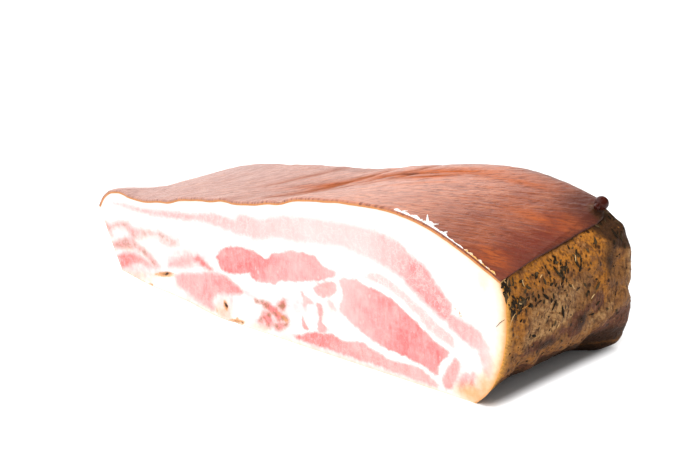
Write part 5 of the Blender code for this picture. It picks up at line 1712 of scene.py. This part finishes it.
def make_berry():
    """The berry: a ball whose distance from its middle is, in each direction, the farther of its own surface
    and the small lobe's, with low wrinkles. Its cube is warped so that its cells are even."""
    u, w, v, quads, _ = box_grid(*(np.linspace(0.0, 1.0, BERRY_CELLS),) * 3)
    out = unit(np.tan((np.stack([u, w, v], axis=-1) - 0.5) * math.pi / 2))
    lobe = unit(np.array(BERRY_LOBE_SIDE)) * BERRY_RADIUS * BERRY_LOBE_REACH
    toward = out @ lobe
    hit = BERRY_LOBE**2 - lobe @ lobe + toward**2
    beyond = np.where((hit > 0) & (toward > 0), toward + np.sqrt(np.maximum(hit, 0.0)), 0.0)
    own = BERRY_RADIUS / np.linalg.norm(out / BERRY_SQUASH, axis=1)
    height, ball, noise = BERRY_WRINKLES
    wrinkles = height * rough_noise(out * ball, *noise)
    points = out * (np.maximum(own, beyond) + wrinkles)[:, None]
    middle = np.array(BERRY_HIGH) - BERRY_RADIUS * BERRY_SQUASH - SHIFT
    return quad_piece("berry", points + middle, quads, (berry_skin(),))


# ================================================================ operators
def settle(piece, slot, *nodes):
    """A piece rides on the one body and stands for its nodes, which are hidden. Its slot is not used."""
    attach(piece, "root")
    if nodes:
        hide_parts(*nodes)


class BACON_OT_meat(bpy.types.Operator):
    """Make the meat, with its fresh cut and smoked sides"""

    bl_idname = "bacon.meat"
    bl_label = "Meat"

    def execute(self, context):
        settle(make_body(), "bacon_meat", "bacon_slab")
        return {"FINISHED"}


class BACON_OT_rind(bpy.types.Operator):
    """Make the rind that lies on the meat"""

    bl_idname = "bacon.rind"
    bl_label = "Rind"

    def execute(self, context):
        settle(make_rind(), "rind_skin", "bacon_slab")
        return {"FINISHED"}


class BACON_OT_shreds(bpy.types.Operator):
    """Make the torn fat on the rind's edge and the fibre on the cut"""

    bl_idname = "bacon.shreds"
    bl_label = "Fat shreds and fibre"

    def execute(self, context):
        settle(make_shreds(), "bacon_meat", "bacon_slab")
        settle(make_fibre(), "bacon_meat")
        return {"FINISHED"}


class BACON_OT_herbs(bpy.types.Operator):
    """Lay leaves, stalks and pepper on the smoked sides"""

    bl_idname = "bacon.herbs"
    bl_label = "Herbs"

    def execute(self, context):
        ground = Ground()
        settle(make_leaves(ground), "herb_flakes", "bacon_slab")
        settle(make_straws(ground), "herb_flakes")
        settle(make_crumbs(ground), "herb_flakes")
        return {"FINISHED"}


class BACON_OT_berry(bpy.types.Operator):
    """Make the juniper berry at the corner"""

    bl_idname = "bacon.berry"
    bl_label = "Berry"

    def execute(self, context):
        settle(make_berry(), "berry_skin", "juniper_berry")
        return {"FINISHED"}


# Lamps far away, as suns: where they stand, strength, how wide they look, and whether gloss shows them
KEY_LAMP = ((-0.14, -0.78, 0.61), 1.38, math.radians(50), True)
TOP_LAMP = ((-0.06, -0.04, 1.0), 3.0, math.radians(38), False)
SKY_LIGHT = 0.45  # the sky's strength on dull surfaces
# In gloss a white wall stands on the left, where directions have x below the first number, and it has faded
# at the second. Its strength, and that of all the rest
WALL_FADE = (-0.52, -0.22)
WALL_LIGHT = 2.1
ROOM_LIGHT = 0.06
WALL_FOOT = (0.00, 0.22, 0.50)  # below the second height the wall is dimmer, down to this part at the first
# The floor glows a little for the camera, which lightens the shadow under the thin end and beside the thick
# one: ovals as (x, y) of the middle, half sizes, and how far out each has reached its full strength
FLOOR_GLOWS = (((-0.190, 0.010), (0.105, 0.085), 0.60), ((0.0870, 0.030), (0.084, 0.300), 0.87))


class BACON_OT_stage(bpy.types.Operator):
    """Make the pale floor, the soft light and the camera of the photograph"""

    bl_idname = "bacon.stage"
    bl_label = "Stage"

    def execute(self, context):
        make_floor()
        make_lamp("key_lamp", *KEY_LAMP)
        make_lamp("top_lamp", *TOP_LAMP)
        make_sky(context.scene)
        make_camera(context.scene)
        context.scene.view_settings.view_transform = "Standard"
        return {"FINISHED"}


def make_floor():
    half = sizes().floor_size / 2
    corners = np.array([(-half, -half, 0.0), (half, -half, 0.0), (half, half, 0.0), (-half, half, 0.0)])
    floor = quad_piece("floor", corners - SHIFT, np.array([[0, 1, 2, 3]]), (pale_floor(),))


def make_lamp(name, stands, strength, width, in_gloss):
    lamp = bpy.data.lights.new(name, "SUN")
    lamp.energy = strength
    lamp.angle = width
    thing = bpy.data.objects.new(name, lamp)
    thing.location = Vector(stands)
    thing.rotation_euler = Vector(stands).to_track_quat("Z", "Y").to_euler()
    thing.visible_glossy = in_gloss
    bpy.context.scene.collection.objects.link(thing)


def make_sky(scene):
    """White sky for the camera, SKY_LIGHT for dull surfaces, and for gloss a white wall on the left."""
    world = bpy.data.worlds.new("soft_sky")
    world.use_nodes = True
    tree = world.node_tree
    rays = put(tree, "ShaderNodeLightPath")
    direction = put(tree, "ShaderNodeTexCoord").outputs["Generated"]
    sideways, _, upward = put(tree, "ShaderNodeSeparateXYZ", ((0, direction),)).outputs
    gloss = rescale(tree, sideways, *WALL_FADE, WALL_LIGHT, ROOM_LIGHT)
    gloss = times(tree, gloss, rescale(tree, upward, *WALL_FOOT, 1.0))
    extra = calculate(tree, "SUBTRACT", gloss, SKY_LIGHT)
    strength = linear(tree, rays.outputs["Is Glossy Ray"], extra, SKY_LIGHT)
    strength = calculate(tree, "MAXIMUM", strength, rays.outputs["Is Camera Ray"])
    tree.links.new(strength, tree.nodes["Background"].inputs["Strength"])
    tree.nodes["Background"].inputs["Color"].default_value = (1.0, 1.0, 1.0, 1.0)
    scene.world = world


def make_camera(scene):
    data = bpy.data.cameras.new("camera")
    data.lens = CAMERA_LENS
    data.sensor_width = CAMERA_SENSOR
    camera = bpy.data.objects.new("camera", data)
    camera.location = Vector(CAMERA_PLACE) + Vector(SHIFT)
    camera.rotation_euler = (math.pi / 2 - CAMERA_TILT, 0.0, CAMERA_TURN)
    scene.collection.objects.link(camera)
    scene.camera = camera


class BACON_PT_panel(bpy.types.Panel):
    """Lists the steps, sizes and colours"""

    bl_label = "Smoked bacon"
    bl_space_type = "VIEW_3D"
    bl_region_type = "UI"
    bl_category = "Bacon"

    def draw(self, context):
        for operator in OPERATORS:
            self.layout.operator(operator.bl_idname)
        for values in (context.scene.bacon_sizes, context.scene.bacon_colours):
            for name in type(values).__annotations__:
                self.layout.prop(values, name)


OPERATORS = (BACON_OT_stage, BACON_OT_meat, BACON_OT_rind, BACON_OT_shreds, BACON_OT_herbs, BACON_OT_berry)
CLASSES = (BaconSizes, BaconColours, *OPERATORS, BACON_PT_panel)


def register():
    for made in CLASSES:
        bpy.utils.register_class(made)
    bpy.types.Scene.bacon_sizes = bpy.props.PointerProperty(type=BaconSizes)
    bpy.types.Scene.bacon_colours = bpy.props.PointerProperty(type=BaconColours)


def unregister():
    del bpy.types.Scene.bacon_colours
    del bpy.types.Scene.bacon_sizes
    for made in reversed(CLASSES):
        bpy.utils.unregister_class(made)


def main():
    register()
    bpy.ops.bacon.stage()
    bpy.ops.bacon.meat()
    bpy.ops.bacon.rind()
    bpy.ops.bacon.shreds()
    bpy.ops.bacon.herbs()
    bpy.ops.bacon.berry()


if __name__ == "__main__":
    main()
